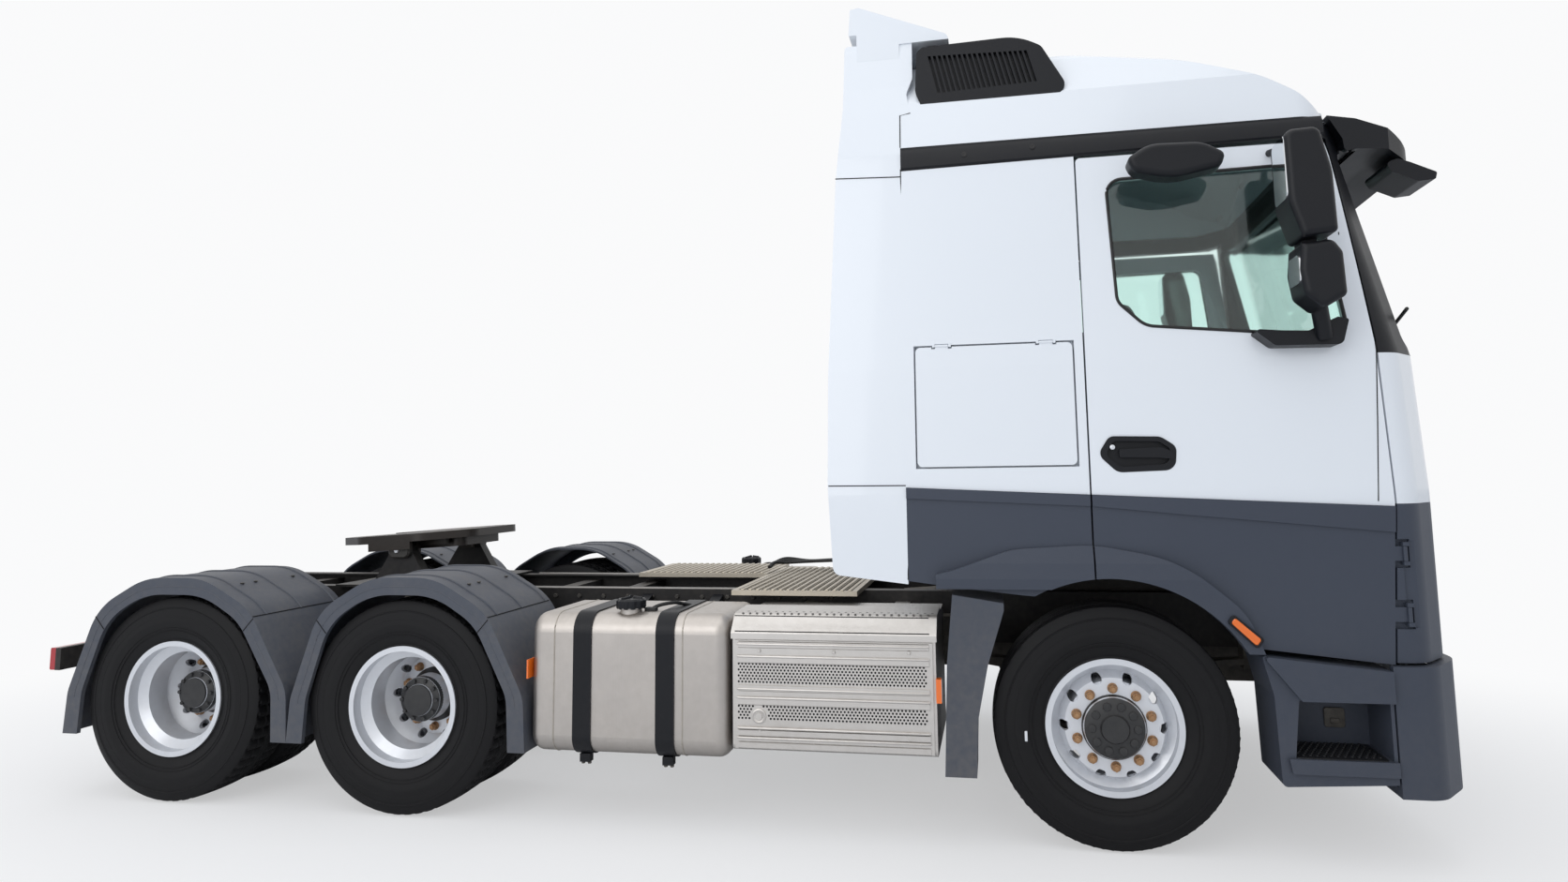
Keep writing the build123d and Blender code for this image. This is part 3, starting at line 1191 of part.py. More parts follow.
# side view of an intake's frame and of its louvre field, each point with its rounding
INTAKE = ((-768.0, 3442.0, 50.0), (-812.0, 3560.0, 60.0), (-800.0, 3790.0, 50.0), (-300.0, 3800.0, 300.0),
          (-190.0, 3740.0, 60.0), (-70.0, 3520.0, 50.0), (-130.0, 3478.0, 40.0))
LOUVRES = ((-700.0, 3545.0), (-205.0, 3560.0), (-245.0, 3722.0), (-738.0, 3740.0))
LOUVRE_COUNT = 20
LOUVRE_LEAN = 44.0            # how far a slot's top lies behind its foot


def intake_grilles():
    """Louvred air intakes on both roof shoulders."""
    pieces = []
    rear_low, front_low, front_high, rear_high = LOUVRES
    for _, side in SIDES:
        y0, y1 = side * 830, side * 1062
        body = prism(list(INTAKE), "y", y0, y1).cut(envelope(-FIT, CAB_REAR))
        body = solid_of(body)
        slots = []
        for i in range(LOUVRE_COUNT):
            share = i / LOUVRE_COUNT
            foot = rear_low[0] + share * (front_low[0] - rear_low[0])
            low = rear_low[1] + share * (front_low[1] - rear_low[1])
            high = rear_high[1] + share * (front_high[1] - rear_high[1])
            slots.append(prism([(foot, low), (foot + 14, low), (foot + 14 - LOUVRE_LEAN, high),
                                (foot - LOUVRE_LEAN, high)],
                               "y", y1 - side * 24, y1 + side * 10))
        pieces.append(solid_of(body.cut(*slots)))
    return group(pieces)


# side views of the two mirror heads
HEAD_UPPER = ((752.0, 3066.0, 40.0), (890.0, 3072.0, 40.0), (932.0, 2880.0, 300.0), (938.0, 2620.0, 20.0),
              (800.0, 2606.0, 20.0), (756.0, 2760.0, 200.0))
HEAD_LOWER = ((798.0, 2584.0, 16.0), (920.0, 2596.0, 40.0), (956.0, 2540.0, 40.0), (962.0, 2360.0, 30.0),
              (868.0, 2306.0, 30.0), (800.0, 2370.0, 40.0), (786.0, 2470.0, 60.0))
HEAD_EDGE = 26.0              # rounding of a head's outer edge
KERB_HEAD = ((146.0, 3050.0, 30.0), (240.0, 3112.0, 160.0), (470.0, 3104.0, 160.0), (566.0, 3046.0, 30.0),
             (545.0, 2985.0, 40.0), (330.0, 2945.0, 300.0), (170.0, 2990.0, 60.0))


def mirror_head(points, side, y_in, y_out):
    """Mirror housing with a rounded outer edge."""
    head = prism(list(points), "y", side * y_in, side * y_out)
    outer = [e for e in head.edges() if abs((e @ 0).Y - side * y_out) < 1 and abs((e @ 1).Y - side * y_out) < 1]
    return head.fillet(HEAD_EDGE, outer)


def door_mirrors(side):
    """Main and wide-angle heads on their arm, the kerb mirror on the right door, and the door's handle."""
    y = side
    foot = prism([(640, 2262, 10), (730, 2185, 30), (1000, 2180, 30), (1030, 2290, 10), (985, 2300, 10),
                  (860, 2240, 60)],
                 "y", y * 1160, y * 1270)
    foot = foot.cut(envelope(-FIT, CAB_REAR))
    column = rod((930, y * 1262, 2215), (880, y * 1350, 2400), 34)
    upper = mirror_head(HEAD_UPPER, y, 1300, 1500)
    lower = mirror_head(HEAD_LOWER, y, 1300, 1480)
    stem = block(820, 880, y * 1310, y * 1400, 2380, 2700)
    bracket = rod((800, y * 1116, 3092), (850, y * 1360, 3050), 16)
    main = fused([foot, column, upper, lower, stem, bracket])
    if side > 0:
        return group([main, door_handle(side)])
    head = mirror_head(KERB_HEAD, y, 1225, 1330)
    arm = prism([(250, 3074), (400, 3062), (400, 3100), (250, 3112)], "y", y * 1040, y * 1240)
    return group([main, fused([head, arm.cut(envelope(-FIT, CAB_REAR))]), door_handle(side)])


# ===========================================================================
# front end, steps and small parts of the chassis
# ===========================================================================
def bumper_plan(inset):
    """Plan outline of the bumper, drawn in by `inset`."""
    w, xf = 1216.0 - inset, 1445.0 - inset
    return [(1116, -w), (xf - 170, -w, 130), (xf, -(w - 210), 210), (xf, w - 210, 210), (xf - 170, w, 130),
            (1116, w)]


BUMPER_TOP = 830.0
APRON_TOP = 964.0             # middle part of the bumper that stands up between the cab's corners
APRON_HALF = 560.0
APRON_FALL = 30.0             # slope of its rear edge, which lets the tilting cab pass


def bumper():
    """Wrap-round bumper, open on top and behind, with a raised middle."""
    low, top = 302.0, BUMPER_TOP
    body = prism(bumper_plan(0), "z", low, top).cut(prism([(1000, -1180)] + bumper_plan(36)[1:-1] + [(1000,
                                                                                                      1180)], "z", low + 36, top + 10))
    lamp_holes = [block(1250, 1500, s * 640, s * 1010, 600, 770) for s in (-1, 1)]
    stays = [block(RAIL_FRONT - 200, 1420, s * RAIL_Y, s * (RAIL_Y + 50), 560, 690).fuse(
        block(RAIL_FRONT - 200, RAIL_FRONT - 60, s * RAIL_Y, s * (RAIL_Y + 50), 560, 795)) for s in (-1, 1)]
    apron = prism([(CAB_FRONT - 22, top - 60), (CAB_FRONT + 25, top - 60), (CAB_FRONT + 16, APRON_TOP, 6),
                   (CAB_FRONT + 4, APRON_TOP), (CAB_FRONT - 22, APRON_TOP - APRON_FALL)],
                  "y", -APRON_HALF, APRON_HALF)
    return fused([body.cut(*lamp_holes), apron, *stays])


STEP = (640.0, 1110.0, 315.0, 812.0)


# side views: housing, overhanging lip, well and tread height
STEP_HOUSING_Y, STEP_LIP_Y = 1212.0, 1238.0
STEP_TREAD_Z = 448.0


def step_boxes():
    """Entry steps under the doors, recessed for the foot below an overhanging lip."""
    pieces = []
    x0, x1, low, high = STEP
    for _, side in SIDES:
        inn = side * 905
        housing = prism([(x0 + 22, low + 14, 20), (x1, low + 40), (x1, high), (x0 - 30, high + 52, 10),
                         (x0 + 10, 700, 60)],
                        "y", side * STEP_HOUSING_Y, inn)
        lip = prism([(x0 - 30, high + 52, 10), (x0 + 86, 717, 20), (x0 + 113, 684, 10), (x1, 684),
                     (x1, high)],
                    "y", side * STEP_LIP_Y, side * 1150)
        sill = prism([(x0 + 60, STEP_TREAD_Z - 60), (x1, STEP_TREAD_Z - 60), (x1, STEP_TREAD_Z),
                      (x0 + 50, STEP_TREAD_Z)],
                     "y", side * (STEP_LIP_Y - 8), side * 1150)
        well = prism([(x0 + 80, STEP_TREAD_Z), (x1 - 14, STEP_TREAD_Z), (x1 - 14, 684), (x0 + 106, 684, 8)],
                     "y", side * 1300, side * 965)
        arm = block(x0 + 230, x0 + 310, inn, side * (RAIL_Y + 50), 715, 785)
        pieces.append(housing.fuse(lip, sill).cut(well).fuse(arm))
    return group(pieces)


TAIL_CLEAR = 8.0              # room between the steered tyre's farthest corner and the tail


def mudguard_tails():
    """Rear halves of the front wheels' guards, on the frame, rounded out for the steered tyres."""
    pieces = []
    reach = math.hypot(TYRE_R, FRONT_TYRE_Y + TYRE_W / 2 - KINGPIN_Y) + TAIL_CLEAR
    for _, side in SIDES:
        out = side * 1222
        shape = prism([(-742, 312), (-602, 312), (-590, 560, 200), (-540, 800, 200), (-462, 1040),
                       (-462, 1072), (-690, 1108), (-722, 800, 300)],
                      "y", out, side * 870)
        hollow = prism([(-760, 300), (-692, 300), (-690, 560, 200), (-640, 810, 200), (-560, 1010),
                        (-690, 1060), (-760, 1090)],
                       "y", side * 1195, side * 800)
        arm = block(-690, -560, side * 905, side * RAIL_Y, 900, 950)
        swing = Sphere(reach).locate(Location((0, side * KINGPIN_Y, TYRE_R)))
        pieces.append(solid_of(shape.cut(hollow).fuse(arm).cut(swing)))
    return group(pieces)


def side_markers():
    """Amber lamps along both flanks."""
    pieces = []
    for _, side in SIDES:
        out = side * 1226
        front = BOX[1]
        pieces.append(block(front, front + 24, out - side * 30, out + side * 12, 632, 736))
        pieces.append(block(TANK[0] - 7.6, TANK[0], out - side * 60, out + side * 12, 690, 780))
    return group(pieces)


NODES = {
    "frame_rails": frame_rails, "crossmembers": crossmembers, "driveline": driveline, "front_axle": front_axle,
    "leaf_springs": leaf_springs, "drive_axles": drive_axles, "fuel_tanks": fuel_tanks, "tank_straps": tank_straps,
    "exhaust_box": exhaust_box, "battery_box": battery_box, "air_tanks": air_tanks, "catwalk": catwalk,
    "rear_mudguards": rear_mudguards, "rear_frame_tubes": mudguard_stays, "lamps": lamps,
    "fifth_wheel_pedestal": fifth_wheel_pedestal, "fifth_wheel_plate": fifth_wheel_plate, "bumper": bumper,
    "step_boxes": step_boxes, "front_mudguard_tails": mudguard_tails, "side_markers": side_markers,
    "cab_floor": cab_floor, "cab_back": cab_back, "cab_sides": cab_sides, "cab_side_cladding": side_cladding,
    "cab_roof": cab_roof, "roof_rails_and_visor": roof_rails_and_visor, "cab_front": cab_front,
    "windscreen": windscreen, "front_cladding": front_cladding,
    "front_flap": front_flap, "cab_fairings": cab_fairings, "intake_grilles": intake_grilles, "seats_and_bunk": seats_and_bunk,
    "dashboard": dashboard,
}


def main():
    """Build and save every node."""
    for name, build in NODES.items():
        save(name, build())
    for word, side in SIDES:
        save(f"knuckle_{word}", knuckle(side))
        save(f"front_wheel_{word}", front_wheel(side))
        save(f"front_tyre_{word}", tyre(0, side * FRONT_TYRE_Y, side))
        save(f"door_{word}", door(side))
        save(f"door_cladding_{word}", door_cladding(side))
        save(f"door_glass_{word}", door_glass(side))
        save(f"door_mirrors_{word}", door_mirrors(side))
        save(f"stowage_lid_{word}", stowage_lid(side))
        for number, x in enumerate(REAR_AXLES, 1):
            save(f"twin_wheel_{number}_{word}", twin_wheel(x, side))
            save(f"twin_tyres_{number}_{word}", twin_tyres(x, side))


if __name__ == "__main__":
    main()
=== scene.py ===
"""Looks of the six-by-four tractor unit: finishes, dressed pieces, light and camera.

Lengths are millimetres and places count forward of the front axle, unless a line says metres.
"""

import json
import logging
import math
from dataclasses import dataclass, field
from enum import Enum

import bmesh
import bpy
import numpy as np
from mathutils import Matrix, Vector

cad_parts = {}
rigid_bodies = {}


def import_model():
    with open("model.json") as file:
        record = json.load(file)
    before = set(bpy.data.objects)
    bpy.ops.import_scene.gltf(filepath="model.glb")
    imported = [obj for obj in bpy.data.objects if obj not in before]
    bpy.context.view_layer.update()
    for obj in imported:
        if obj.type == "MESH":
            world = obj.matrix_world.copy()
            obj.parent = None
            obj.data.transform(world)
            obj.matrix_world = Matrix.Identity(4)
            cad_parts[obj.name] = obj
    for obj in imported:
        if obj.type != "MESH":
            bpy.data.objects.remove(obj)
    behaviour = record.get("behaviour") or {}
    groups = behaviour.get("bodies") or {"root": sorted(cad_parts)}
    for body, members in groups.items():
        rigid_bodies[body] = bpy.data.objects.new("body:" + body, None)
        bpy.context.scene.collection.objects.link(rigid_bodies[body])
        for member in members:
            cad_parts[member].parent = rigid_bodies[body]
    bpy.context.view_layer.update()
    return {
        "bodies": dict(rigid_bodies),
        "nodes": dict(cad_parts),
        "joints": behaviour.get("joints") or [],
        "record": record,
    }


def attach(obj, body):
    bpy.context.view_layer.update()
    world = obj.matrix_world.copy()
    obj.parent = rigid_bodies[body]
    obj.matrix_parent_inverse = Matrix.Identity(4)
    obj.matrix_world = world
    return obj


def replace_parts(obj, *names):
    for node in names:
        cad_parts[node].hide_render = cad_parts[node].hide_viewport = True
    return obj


LOG = logging.getLogger("tractor")
Array = np.ndarray
Point = tuple[float, float, float]
Pair = tuple[float, float]
Tree = bpy.types.NodeTree
Piece = bpy.types.Object

AXLE_X = 2.070  # metres from the origin forward to the front axle
REAR_AXLES = (-3450.0, -4800.0)
TYRE_R = 530.0
SHARP_ANGLE = math.radians(38)
SIDES = (("right", -1.0), ("left", 1.0))


# --- mesh helpers ----------------------------
def to_metres(points: Array) -> Array:
    """Places in millimetres forward of the front axle, moved into the row frame in metres."""
    return np.asarray(points, float) / 1000.0 + np.array([AXLE_X, 0.0, 0.0])


def mesh_object(name: str, points: Array, faces: list[tuple[int, ...]], smooth: bool = True) -> Piece:
    """Puts points and faces into a new object at the origin.

    Args:
        name: Name of the piece.
        points: (n, 3) places in the row frame, in metres.
        faces: Corner numbers of each face.
        smooth: Shade the faces smooth, with sharp edges where they meet steeply.
    Returns:
        The linked object.
    """
    mesh = bpy.data.meshes.new(name)
    mesh.from_pydata(points.tolist(), [], faces)
    mesh.validate()
    obj = bpy.data.objects.new(name, mesh)
    bpy.context.scene.collection.objects.link(obj)
    if smooth:
        mesh.polygons.foreach_set("use_smooth", np.ones(len(mesh.polygons), dtype=bool))
        mesh.set_sharp_from_angle(angle=SHARP_ANGLE)
    return obj


@dataclass
class Pile:
    """Gathers several grids into one mesh."""

    points: list[Array] = field(default_factory=list)
    faces: list[tuple[int, ...]] = field(default_factory=list)
    count: int = 0

    def grid(self, rows: Array, wrap_rows: bool = False, wrap_cols: bool = False, flip: bool = False) -> None:
        """Adds the quads between neighbours in a grid of points.

        Args:
            rows: Points of shape (rows, columns, 3).
            wrap_rows: Join the last row to the first.
            wrap_cols: Join the end of each row to its start.
            flip: Turn the faces over.
        """
        n, m = rows.shape[:2]
        r, c = np.meshgrid(np.arange(n - (not wrap_rows)), np.arange(m - (not wrap_cols)), indexing="ij")
        r2, c2 = (r + 1) % n, (c + 1) % m
        quads = np.stack([r * m + c, r * m + c2, r2 * m + c2, r2 * m + c], axis=-1).reshape(-1, 4)
        self.faces.extend(map(tuple, (self.count + (quads[:, ::-1] if flip else quads)).tolist()))
        self.points.append(rows.reshape(-1, 3))
        self.count += n * m

    def bar(self, rings: Array, flip: bool = False) -> None:
        """Adds a closed bar from rings of points, shape (rings, points, 3), with both ends capped."""
        rings = np.asarray(rings)
        first = self.count
        n, m = rings.shape[:2]
        self.grid(rings, wrap_cols=True, flip=flip)
        head = list(range(first, first + m))
        tail = list(range(first + (n - 1) * m, first + n * m))
        self.faces.append(tuple(head if flip else head[::-1]))
        self.faces.append(tuple(tail[::-1] if flip else tail))

    def make(self, name: str, heal: bool = True) -> Piece:
        """The gathered mesh as one object; `heal` turns the faces of closed shapes outward."""
        obj = mesh_object(name, to_metres(np.concatenate(self.points)), self.faces)
        if heal:
            shape = bmesh.new()
            shape.from_mesh(obj.data)
            bmesh.ops.recalc_face_normals(shape, faces=shape.faces)
            shape.to_mesh(obj.data)
            shape.free()
        return obj


def round_angles(count: int) -> Array:
    """Evenly spaced angles of a full turn, the last one left off."""
    return np.linspace(0, 2 * math.pi, count, endpoint=False)


def rounded_section(width: float, height: float, corner: float, steps: int = 5) -> Array:
    """Rounded rectangle as (n, 2) points, anticlockwise.

    Each corner is a quarter circle of radius `corner` about a centre that lies `corner` in from both edges.
    """
    corner = min(corner, width / 2 * 0.999, height / 2 * 0.999)
    turn = np.linspace(0, math.pi / 2, steps)
    parts = []
    for i, (sx, sy) in enumerate(((1, 1), (-1, 1), (-1, -1), (1, -1))):
        angle = turn + i * math.pi / 2
        centre = np.array([sx * (width / 2 - corner), sy * (height / 2 - corner)])
        parts.append(centre + corner * np.stack([np.cos(angle), np.sin(angle)], axis=1))
    return np.concatenate(parts)


def slab(pile: Pile, centre: Point, size: Point, axis: int, corner: float, bevel: float = 4.0) -> None:
    """Adds a rounded slab: a rounded rectangle pushed along one axis, with bevelled rims.

    The rings stand at both ends and a bevel's width in; the end rings are drawn in by the bevel.

    Args:
        pile: Where it goes.
        centre: Middle of the slab.
        size: Size along x, y and z.
        axis: The axis that it is pushed along.
        corner: Corner radius of the section.
        bevel: Width of the rim's bevel.
    """
    u, v = (i for i in range(3) if i != axis)
    half = size[axis] / 2
    bevel = min(bevel, half * 0.9, min(size[u], size[v]) * 0.4)
    rings = []
    for place, inset in ((-half, bevel), (-half + bevel * 0.3, bevel * 0.3), (-half + bevel, 0.0),
                         (half - bevel, 0.0), (half - bevel * 0.3, bevel * 0.3), (half, bevel)):
        section = rounded_section(size[u] - 2 * inset, size[v] - 2 * inset, max(corner - inset, 0.5))
        ring = np.empty((len(section), 3))
        ring[:, u], ring[:, v] = centre[u] + section[:, 0], centre[v] + section[:, 1]
        ring[:, axis] = centre[axis] + place
        rings.append(ring)
    pile.bar(rings, flip=(axis == 1))


def turned(pile: Pile, profile: Array, centre: Point, side: float, turns: int = 96) -> None:
    """Adds a surface of revolution about a line along y.

    A point is (x + r sin a, y + side w, z + r cos a) for profile point (r, w) and angle a.

    Args:
        pile: Where it goes.
        profile: (n, 2) radius and outward offset.
        centre: A point of the axle.
        side: 1 for the left of the truck, -1 for the right.
        turns: Steps round the axle.
    """
    a = round_angles(turns)[:, None]
    r, w = np.asarray(profile, float).T[:, None]
    rows = [centre[0] + r * np.sin(a), centre[1] + side * (w + 0 * a), centre[2] + r * np.cos(a)]
    pile.grid(np.stack(rows, axis=-1), wrap_rows=True, flip=side > 0)


def tube(pile: Pile, path: Array, radius: float, around: int = 0) -> None:
    """Adds a round tube along a path; without `around`, thinner tubes get fewer sides.

    At each path point the section lies across the local direction, turned from a fixed up vector.
    """
    path = np.asarray(path, float)
    around = around or (6 if radius < 4 else 8 if radius < 10 else 10)
    ahead = np.gradient(path, axis=0)
    ahead /= np.linalg.norm(ahead, axis=1, keepdims=True)
    up = np.where(np.abs(ahead[:, 2:3]) > 0.95, np.array([[1.0, 0, 0]]), np.array([[0, 0, 1.0]]))
    across = np.cross(ahead, up)
    across /= np.linalg.norm(across, axis=1, keepdims=True)
    over = np.cross(across, ahead)
    a = round_angles(around)[None, :, None]
    pile.bar(path[:, None, :] + radius * (np.cos(a) * across[:, None, :] + np.sin(a) * over[:, None, :]))


def smooth_path(points: list[Point], steps: int = 12) -> Array:
    """Catmull-Rom curve through a few points, as (n, 3)."""
    p = np.array([points[0], *points, points[-1]], float)
    t = np.linspace(0, 1, steps, endpoint=False)[:, None]
    runs = []
    for i in range(len(p) - 3):
        a, b, c, d = p[i:i + 4]
        runs.append(0.5 * (2 * b + (c - a) * t + (2 * a - 5 * b + 4 * c - d) * t ** 2
                           + (3 * b - a - 3 * c + d) * t ** 3))
    return np.concatenate([*runs, p[-1:]])


# --- finishes --------------------------------
class Pattern(Enum):
    """Small relief of a surface."""

    SMOOTH = "smooth"
    GRAINED = "grained"
    BRUSHED = "brushed"
    CAST = "cast"
    WOVEN = "woven"


def feed(tree: Tree, node: bpy.types.Node, inputs: dict[str | int, object]) -> None:
    """Sets a node's inputs, by name or number, to values, or links them to sockets."""
    for key, value in inputs.items():
        if isinstance(value, bpy.types.NodeSocket):
            tree.links.new(value, node.inputs[key])
        else:
            node.inputs[key].default_value = value


def add_node(tree: Tree, kind: str, inputs: dict[str | int, object] | None = None,
             **settings: object) -> bpy.types.Node:
    """Adds a shader node.

    Args:
        tree: Where it goes.
        kind: Type of the node without its first word.
        inputs: Values or sockets for its inputs.
        **settings: Its attributes, set before the inputs.
    Returns:
        The node.
    """
    node = tree.nodes.new(f"ShaderNode{kind}")
    for key, value in settings.items():
        setattr(node, key, value)
    feed(tree, node, inputs or {})
    return node


def calc(tree: Tree, kind: str, first: object, second: object, clamp: bool = False) -> object:
    """Output of a math node whose inputs are sockets or numbers."""
    return add_node(tree, "Math", {0: first, 1: second}, operation=kind, use_clamp=clamp).outputs[0]


def noise(tree: Tree, vector: object, scale: float, detail: float) -> object:
    """Value of a noise texture on a vector socket."""
    return add_node(tree, "TexNoise", {"Vector": vector, "Scale": scale, "Detail": detail}).outputs["Fac"]


@dataclass(frozen=True)
class Effects:
    """Node groups shared by the finishes: road dust, soft mottle and fine relief."""

    dust: Tree
    mottle: Tree
    grain: Tree

    @classmethod
    def build(cls) -> "Effects":
        """Builds the groups once."""
        return cls(cls.dust_group(), cls.mottle_group(), cls.grain_group())

    @staticmethod
    def new_group(name: str, inputs: dict[str, float], output: str) -> tuple[Tree, object, object]:
        """New shader node group with a vector, float inputs and one float output.

        Returns:
            The group, the outputs of its input node and the socket of its output.
        """
        tree = bpy.data.node_groups.new(name, "ShaderNodeTree")
        tree.interface.new_socket("Vector", in_out="INPUT", socket_type="NodeSocketVector")
        for key, value in inputs.items():
            socket = tree.interface.new_socket(key, in_out="INPUT", socket_type="NodeSocketFloat")
            socket.default_value = value
        tree.interface.new_socket(output, in_out="OUTPUT", socket_type="NodeSocketFloat")
        given = tree.nodes.new("NodeGroupInput").outputs
        return tree, given, tree.nodes.new("NodeGroupOutput").inputs[output]

    @staticmethod
    def scaled(tree: Tree, given: object) -> object:
        """The group's vector times its scale."""
        return add_node(tree, "VectorMath", {0: given["Vector"], "Scale": given["Scale"]},
                        operation="SCALE").outputs[0]

    @classmethod
    def dust_group(cls) -> Tree:
        """Mask of dust: patchy noise, stronger towards the ground and on faces that look up."""
        tree, given, out = cls.new_group("road_dust", {"Amount": 0.3, "Reach": 1.2}, "Mask")
        vector = given["Vector"]
        height = add_node(tree, "SeparateXYZ", {0: vector}).outputs[2]
        low = calc(tree, "SUBTRACT", 1.0, calc(tree, "DIVIDE", height, given["Reach"]), clamp=True)
        patches = calc(tree, "MULTIPLY", noise(tree, vector, 3.2, 8.0), noise(tree, vector, 31.0, 3.0))
        normal = add_node(tree, "NewGeometry").outputs["Normal"]
        facing = add_node(tree, "SeparateXYZ", {0: normal}).outputs[2]
        upward = calc(tree, "MULTIPLY", facing, 0.55, clamp=True)
        weight = calc(tree, "ADD", calc(tree, "ADD", low, upward), 0.12)
        raw = calc(tree, "MULTIPLY", calc(tree, "MULTIPLY", patches, 3.0), weight)
        tree.links.new(calc(tree, "MULTIPLY", raw, given["Amount"], clamp=True), out)
        return tree

    @classmethod
    def mottle_group(cls) -> Tree:
        """Soft change of tone: wide noise with a finer one on top, about 0.5."""
        tree, given, out = cls.new_group("soft_mottle", {"Scale": 1.0}, "Value")
        vector = cls.scaled(tree, given)
        wide = calc(tree, "MULTIPLY", noise(tree, vector, 1.7, 4.0), 0.65)
        fine = calc(tree, "MULTIPLY", noise(tree, vector, 12.0, 6.0), 0.35)
        tree.links.new(calc(tree, "ADD", wide, fine), out)
        return tree

    @classmethod
    def grain_group(cls) -> Tree:
        """Height of moulded grain: small cells of leather-like relief."""
        tree, given, out = cls.new_group("moulded_grain", {"Scale": 1.0}, "Height")
        vector = cls.scaled(tree, given)
        cells = add_node(tree, "TexVoronoi", {"Vector": vector, "Scale": 420.0}).outputs["Distance"]
        fine = calc(tree, "MULTIPLY", noise(tree, vector, 900.0, 2.0), 0.4)
        tree.links.new(calc(tree, "ADD", cells, fine), out)
        return tree


@dataclass(frozen=True)
class Finish:
    """One finish of the truck and how it is dressed.

    Attributes:
        name: Material name.
        colour: Clean base colour, linear.
        rough: Roughness of the clean surface.
        metallic: 1 for bare metal.
        coat: Clear coat weight.
        dust: How much road dust lies on it.
        dust_colour: Colour of that dust.
        tone: Spread of the base colour's brightness.
        pattern: Small relief.
        relief: Strength of the relief.
        reach: Height in metres up to which dust thickens.
        transmission: 1 for clear glass.
        sheen: Sheen weight of cloth.
        specular: Specular level.
        dapple: Scale of the mottle.
    """

    name: str
    colour: Point
    rough: float
    metallic: float = 0.0
    coat: float = 0.0
    dust: float = 0.15
    dust_colour: Point = (0.27, 0.24, 0.20)
    tone: float = 0.12
    pattern: Pattern = Pattern.SMOOTH
    relief: float = 0.1
    reach: float = 1.3
    transmission: float = 0.0
    sheen: float = 0.0
    specular: float = 0.5
    dapple: float = 1.0

    ROUGH_SPREAD = 0.16  # change of roughness over the mottle
    DUSTY_ROUGH = 0.35  # roughness that full dust adds
    COAT_ROUGH = 0.06
    BUMP_METRES = 0.002

    def build(self, effects: Effects) -> bpy.types.Material:
        """Makes the material: mottled base colour under dust, and relief into the normal."""
        material = bpy.data.materials.new(self.name)
        material.use_nodes = True
        tree = material.node_tree
        place = add_node(tree, "TexCoord").outputs["Object"]
        mottle = self.group(tree, effects.mottle, place, Scale=self.dapple)
        dust = self.group(tree, effects.dust, place, Amount=self.dust, Reach=self.reach)
        dark, light = ((*[min(c * (1 + way * self.tone), 1.0) for c in self.colour], 1) for way in (-1, 1))
        clean = self.blend(tree, mottle, dark, light)
        rough = calc(tree, "MULTIPLY", mottle, self.ROUGH_SPREAD)
        rough = calc(tree, "ADD", rough, self.rough - self.ROUGH_SPREAD / 2)
        dusty = calc(tree, "ADD", rough, calc(tree, "MULTIPLY", dust, self.DUSTY_ROUGH), clamp=True)
        shader = tree.nodes["Principled BSDF"]
        feed(tree, shader, {
            "Base Color": self.blend(tree, dust, clean, (*self.dust_colour, 1)), "Roughness": dusty,
            "Metallic": self.metallic, "Coat Weight": self.coat, "Coat Roughness": self.COAT_ROUGH,
            "Specular IOR Level": self.specular, "Sheen Weight": self.sheen,
            "Transmission Weight": self.transmission})
        height = self.height(tree, effects, place)
        if height is not None:
            bump = {"Height": height, "Strength": self.relief, "Distance": self.BUMP_METRES}
            feed(tree, shader, {"Normal": add_node(tree, "Bump", bump).outputs[0]})
        return material

    @staticmethod
    def blend(tree: Tree, factor: object, first: object, second: object) -> object:
        """Colour that goes from the first to the second with the factor."""
        inputs = {"Factor": factor, "A": first, "B": second}
        return add_node(tree, "Mix", inputs, data_type="RGBA").outputs["Result"]

    @staticmethod
    def group(tree: Tree, group: Tree, vector: object, **values: float) -> object:
        """Output of a shared group, placed with its own values."""
        return add_node(tree, "Group", {"Vector": vector, **values}, node_tree=group).outputs[0]

    def height(self, tree: Tree, effects: Effects, place: object) -> object:
        """Relief height of the finish's pattern, or None."""
        if self.pattern is Pattern.GRAINED:
            return self.group(tree, effects.grain, place, Scale=1.0)
        if self.pattern is Pattern.BRUSHED:
            drawn = add_node(tree, "Mapping", {"Vector": place, "Scale": (1.0, 1.0, 0.03)}).outputs[0]
            return noise(tree, drawn, 260.0, 4.0)
        if self.pattern is Pattern.CAST:
            return noise(tree, place, 150.0, 6.0)
        if self.pattern is Pattern.WOVEN:
            wave = {"Vector": place, "Scale": 160.0, "Distortion": 1.5}
            return add_node(tree, "TexWave", wave).outputs["Fac"]
        return None


# Record slot listed beside the finish of each new piece.
SLOT_OF = {
    "guard_grey": "grey_plastic", "black_trim": "black_plastic", "seal_rubber": "black_plastic",
    "shadow_gap": "black_plastic", "cast_dark": "cast_grey", "worn_edge": "frame_black",
    "weld_bead": "brushed_aluminium", "tread_plate": "brushed_aluminium", "box_steel": "steel_box",
    "wheel_silver": "silver_wheel", "amber_lens": "lamp_amber", "lamp_clear": "lamp_lens",
}


